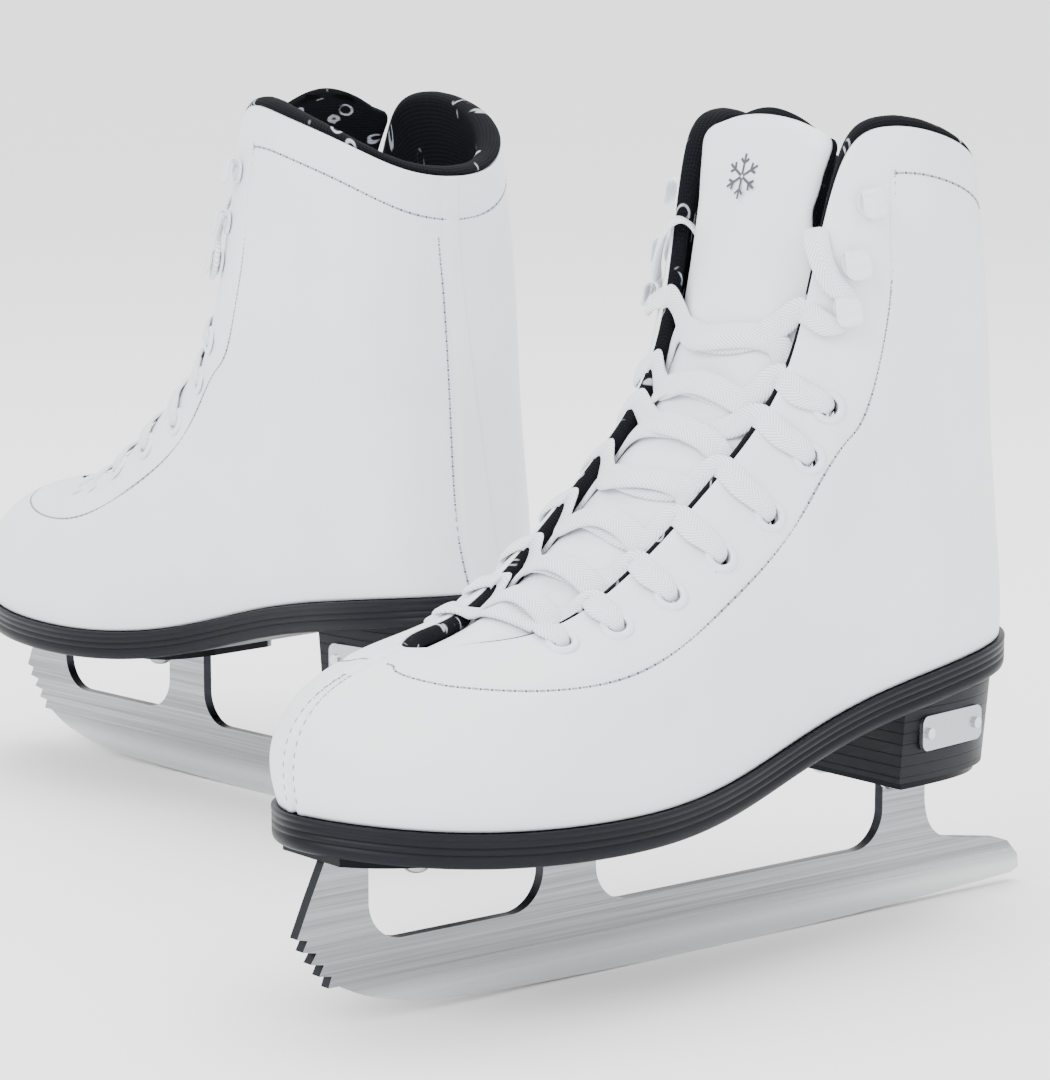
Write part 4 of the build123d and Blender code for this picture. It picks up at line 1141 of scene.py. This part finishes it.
class SKATES_OT_soles(bpy.types.Operator):
    """Moulded soles and stacked heels"""
    bl_idname = "skates.soles"
    bl_label = "Soles and heels"

    def execute(self, context):
        plastic = moulded_sole(colours().sole, layered=False)
        stacked = moulded_sole(colours().sole, layered=True)
        for skate in SKATES:
            piece = make_sole(skate, plastic)
            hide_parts(f"{skate}_outsole")
            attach(piece, f"{skate}_skate")
            give_material(stacked, f"{skate}_heel_block")
        return {"FINISHED"}


class SKATES_OT_blades(bpy.types.Operator):
    """Ground blades, their plates and rivets, and the badges on the heels"""
    bl_idname = "skates.blades"
    bl_label = "Blades"

    def execute(self, context):
        plate = plain_metal("black_zinc_plate", "#1C1D20", "#0E0F11", 0.38, 0.004)
        rivet = plain_metal("polished_nickel_rivet", "#D9DADC", "#B9BBBE", 0.18, 0.0015)
        badge = plain_metal("satin_aluminium_badge", "#B9BBBE", "#9FA2A6", 0.3, 0.0006)
        for skate in SKATES:
            give_material(ground_steel(skate, colours().steel), f"{skate}_blade")
            give_material(plate, f"{skate}_sole_plate", f"{skate}_heel_plate")
            give_material(rivet, f"{skate}_sole_plate_rivets", f"{skate}_heel_plate_rivets",
                          f"{skate}_badge_pins")
            give_material(badge, f"{skate}_heel_badges")
        return {"FINISHED"}


class SKATES_OT_inner_layers(bpy.types.Operator):
    """Board, shank, footbed, stiffeners and foam inside the boots"""
    bl_idname = "skates.inner_layers"
    bl_label = "Inner layers"

    def execute(self, context):
        layers = {
            "insole_board": fibre_stuff("cellulose_board", "#B08D62", "#8C6D49", 0.0008),
            "shank": plain_metal("blued_spring_steel", "#5A6068", "#3C4148", 0.35, 0.003),
            "footbed": fibre_stuff("knitted_footbed_cover", colours().lining, "#2A2D36", 0.0009),
            "toe_puff": fibre_stuff("thermoplastic_puff", "#D8D5CC", "#BDB9AE", 0.0012),
            "heel_counter": fibre_stuff("thermoplastic_counter", "#D4D0C6", "#B8B4A8", 0.0012),
            "outer_eyestay": fibre_stuff("nonwoven_eyestay", "#DADAD6", "#C2C2BD", 0.0006),
            "collar_foam": fibre_stuff("polyurethane_foam", "#DAD6C4", "#BDB89F", 0.0005),
        }
        for skate in SKATES:
            for name, material in layers.items():
                give_material(material, f"{skate}_{name}")
            give_material(layers["outer_eyestay"], f"{skate}_inner_eyestay")
        return {"FINISHED"}


def area_light(name, at, aim, size, power, colour="#FFFFFF"):
    lamp = bpy.data.lights.new(name, "AREA")
    lamp.shape, lamp.size, lamp.size_y = "RECTANGLE", size[0], size[1]
    lamp.energy, lamp.color = power, linear(colour)[:3]
    holder = bpy.data.objects.new(name, lamp)
    holder.location = at
    holder.rotation_euler = (Vector(aim) - Vector(at)).to_track_quat("-Z", "Y").to_euler()
    bpy.context.scene.collection.objects.link(holder)


class SKATES_OT_stage(bpy.types.Operator):
    """Pale floor, soft studio lights and the camera"""
    bl_idname = "skates.stage"
    bl_label = "Stage"

    def execute(self, context):
        scene = context.scene
        floor_mesh = bpy.data.meshes.new("studio_floor")
        corners = [(x * FLOOR_HALF, y * FLOOR_HALF, 0) for x, y in ((-1, -1), (1, -1), (1, 1), (-1, 1))]
        floor_mesh.from_pydata(corners, [], [(0, 1, 2, 3)])
        paper, tree, shader = start_material("matt_background_paper", Roughness=0.9)
        at = add_node(tree, "TexCoord").outputs["Object"]
        tooth = add_node(tree, "TexNoise", {"Vector": at, "Scale": 1 / 0.3}).outputs["Fac"]
        tone = add_node(tree, "Mix", {0: tooth, 6: linear(colours().floor), 7: linear("#FCFCFD")},
                        data_type="RGBA")
        plug(tree, shader, Base_Color=tone.outputs[2])
        floor_mesh.materials.append(paper)
        floor = bpy.data.objects.new("studio_floor", floor_mesh)
        scene.collection.objects.link(floor)
        world = bpy.data.worlds.new("studio_white")
        world.use_nodes = True
        background = world.node_tree.nodes["Background"]
        background.inputs["Color"].default_value = linear("#FFFFFF")
        background.inputs["Strength"].default_value = WORLD_STRENGTH
        scene.world = world
        area_light("key_window", (1.6, 0.5, 1.5), (0, 0, 0.12), (1.2, 1.0), 34)
        area_light("fill_window", (0.1, 1.9, 0.9), (0, 0.1, 0.12), (1.2, 0.8), 8)
        area_light("top_window", (-0.5, -0.3, 1.8), (0, 0, 0.1), (1.6, 1.6), 26)
        lens = bpy.data.cameras.new("camera")
        lens.sensor_fit, lens.sensor_width, lens.lens = "AUTO", SENSOR, LENS
        lens.clip_start, lens.clip_end = 0.05, 200
        camera = bpy.data.objects.new("camera", lens)
        camera.location = CAMERA_AT
        pitch = math.radians(CAMERA_PITCH)
        aim = Vector((CAMERA_AIM[0] * math.cos(pitch), CAMERA_AIM[1] * math.cos(pitch), -math.sin(pitch)))
        camera.rotation_euler = aim.to_track_quat("-Z", "Y").to_euler()
        scene.collection.objects.link(camera)
        scene.camera = camera
        return {"FINISHED"}


STEPS = (SKATES_OT_stage, SKATES_OT_boots, SKATES_OT_linings, SKATES_OT_tongues, SKATES_OT_stitching,
         SKATES_OT_laces, SKATES_OT_fittings, SKATES_OT_soles, SKATES_OT_blades, SKATES_OT_inner_layers)


class SKATES_PT_panel(bpy.types.Panel):
    """Sizes, colours and the steps that make the skates"""
    bl_label = "Figure skates"
    bl_idname = "SKATES_PT_panel"
    bl_space_type = "VIEW_3D"
    bl_region_type = "UI"
    bl_category = "Skates"

    def draw(self, context):
        for group in (context.scene.skate_sizes, context.scene.skate_colours):
            for name in group.__annotations__:
                self.layout.prop(group, name)
        for step in STEPS:
            self.layout.operator(step.bl_idname)


CLASSES = (SkateSizes, SkateColours) + STEPS + (SKATES_PT_panel,)


def register():
    for cls in CLASSES:
        bpy.utils.register_class(cls)
    bpy.types.Scene.skate_sizes = PointerProperty(type=SkateSizes)
    bpy.types.Scene.skate_colours = PointerProperty(type=SkateColours)


def unregister():
    del bpy.types.Scene.skate_sizes
    del bpy.types.Scene.skate_colours
    for cls in reversed(CLASSES):
        bpy.utils.unregister_class(cls)


def main():
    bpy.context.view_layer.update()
    register()
    for step in STEPS:
        group, name = step.bl_idname.split(".")
        getattr(getattr(bpy.ops, group), name)()


if __name__ == "__main__":
    main()
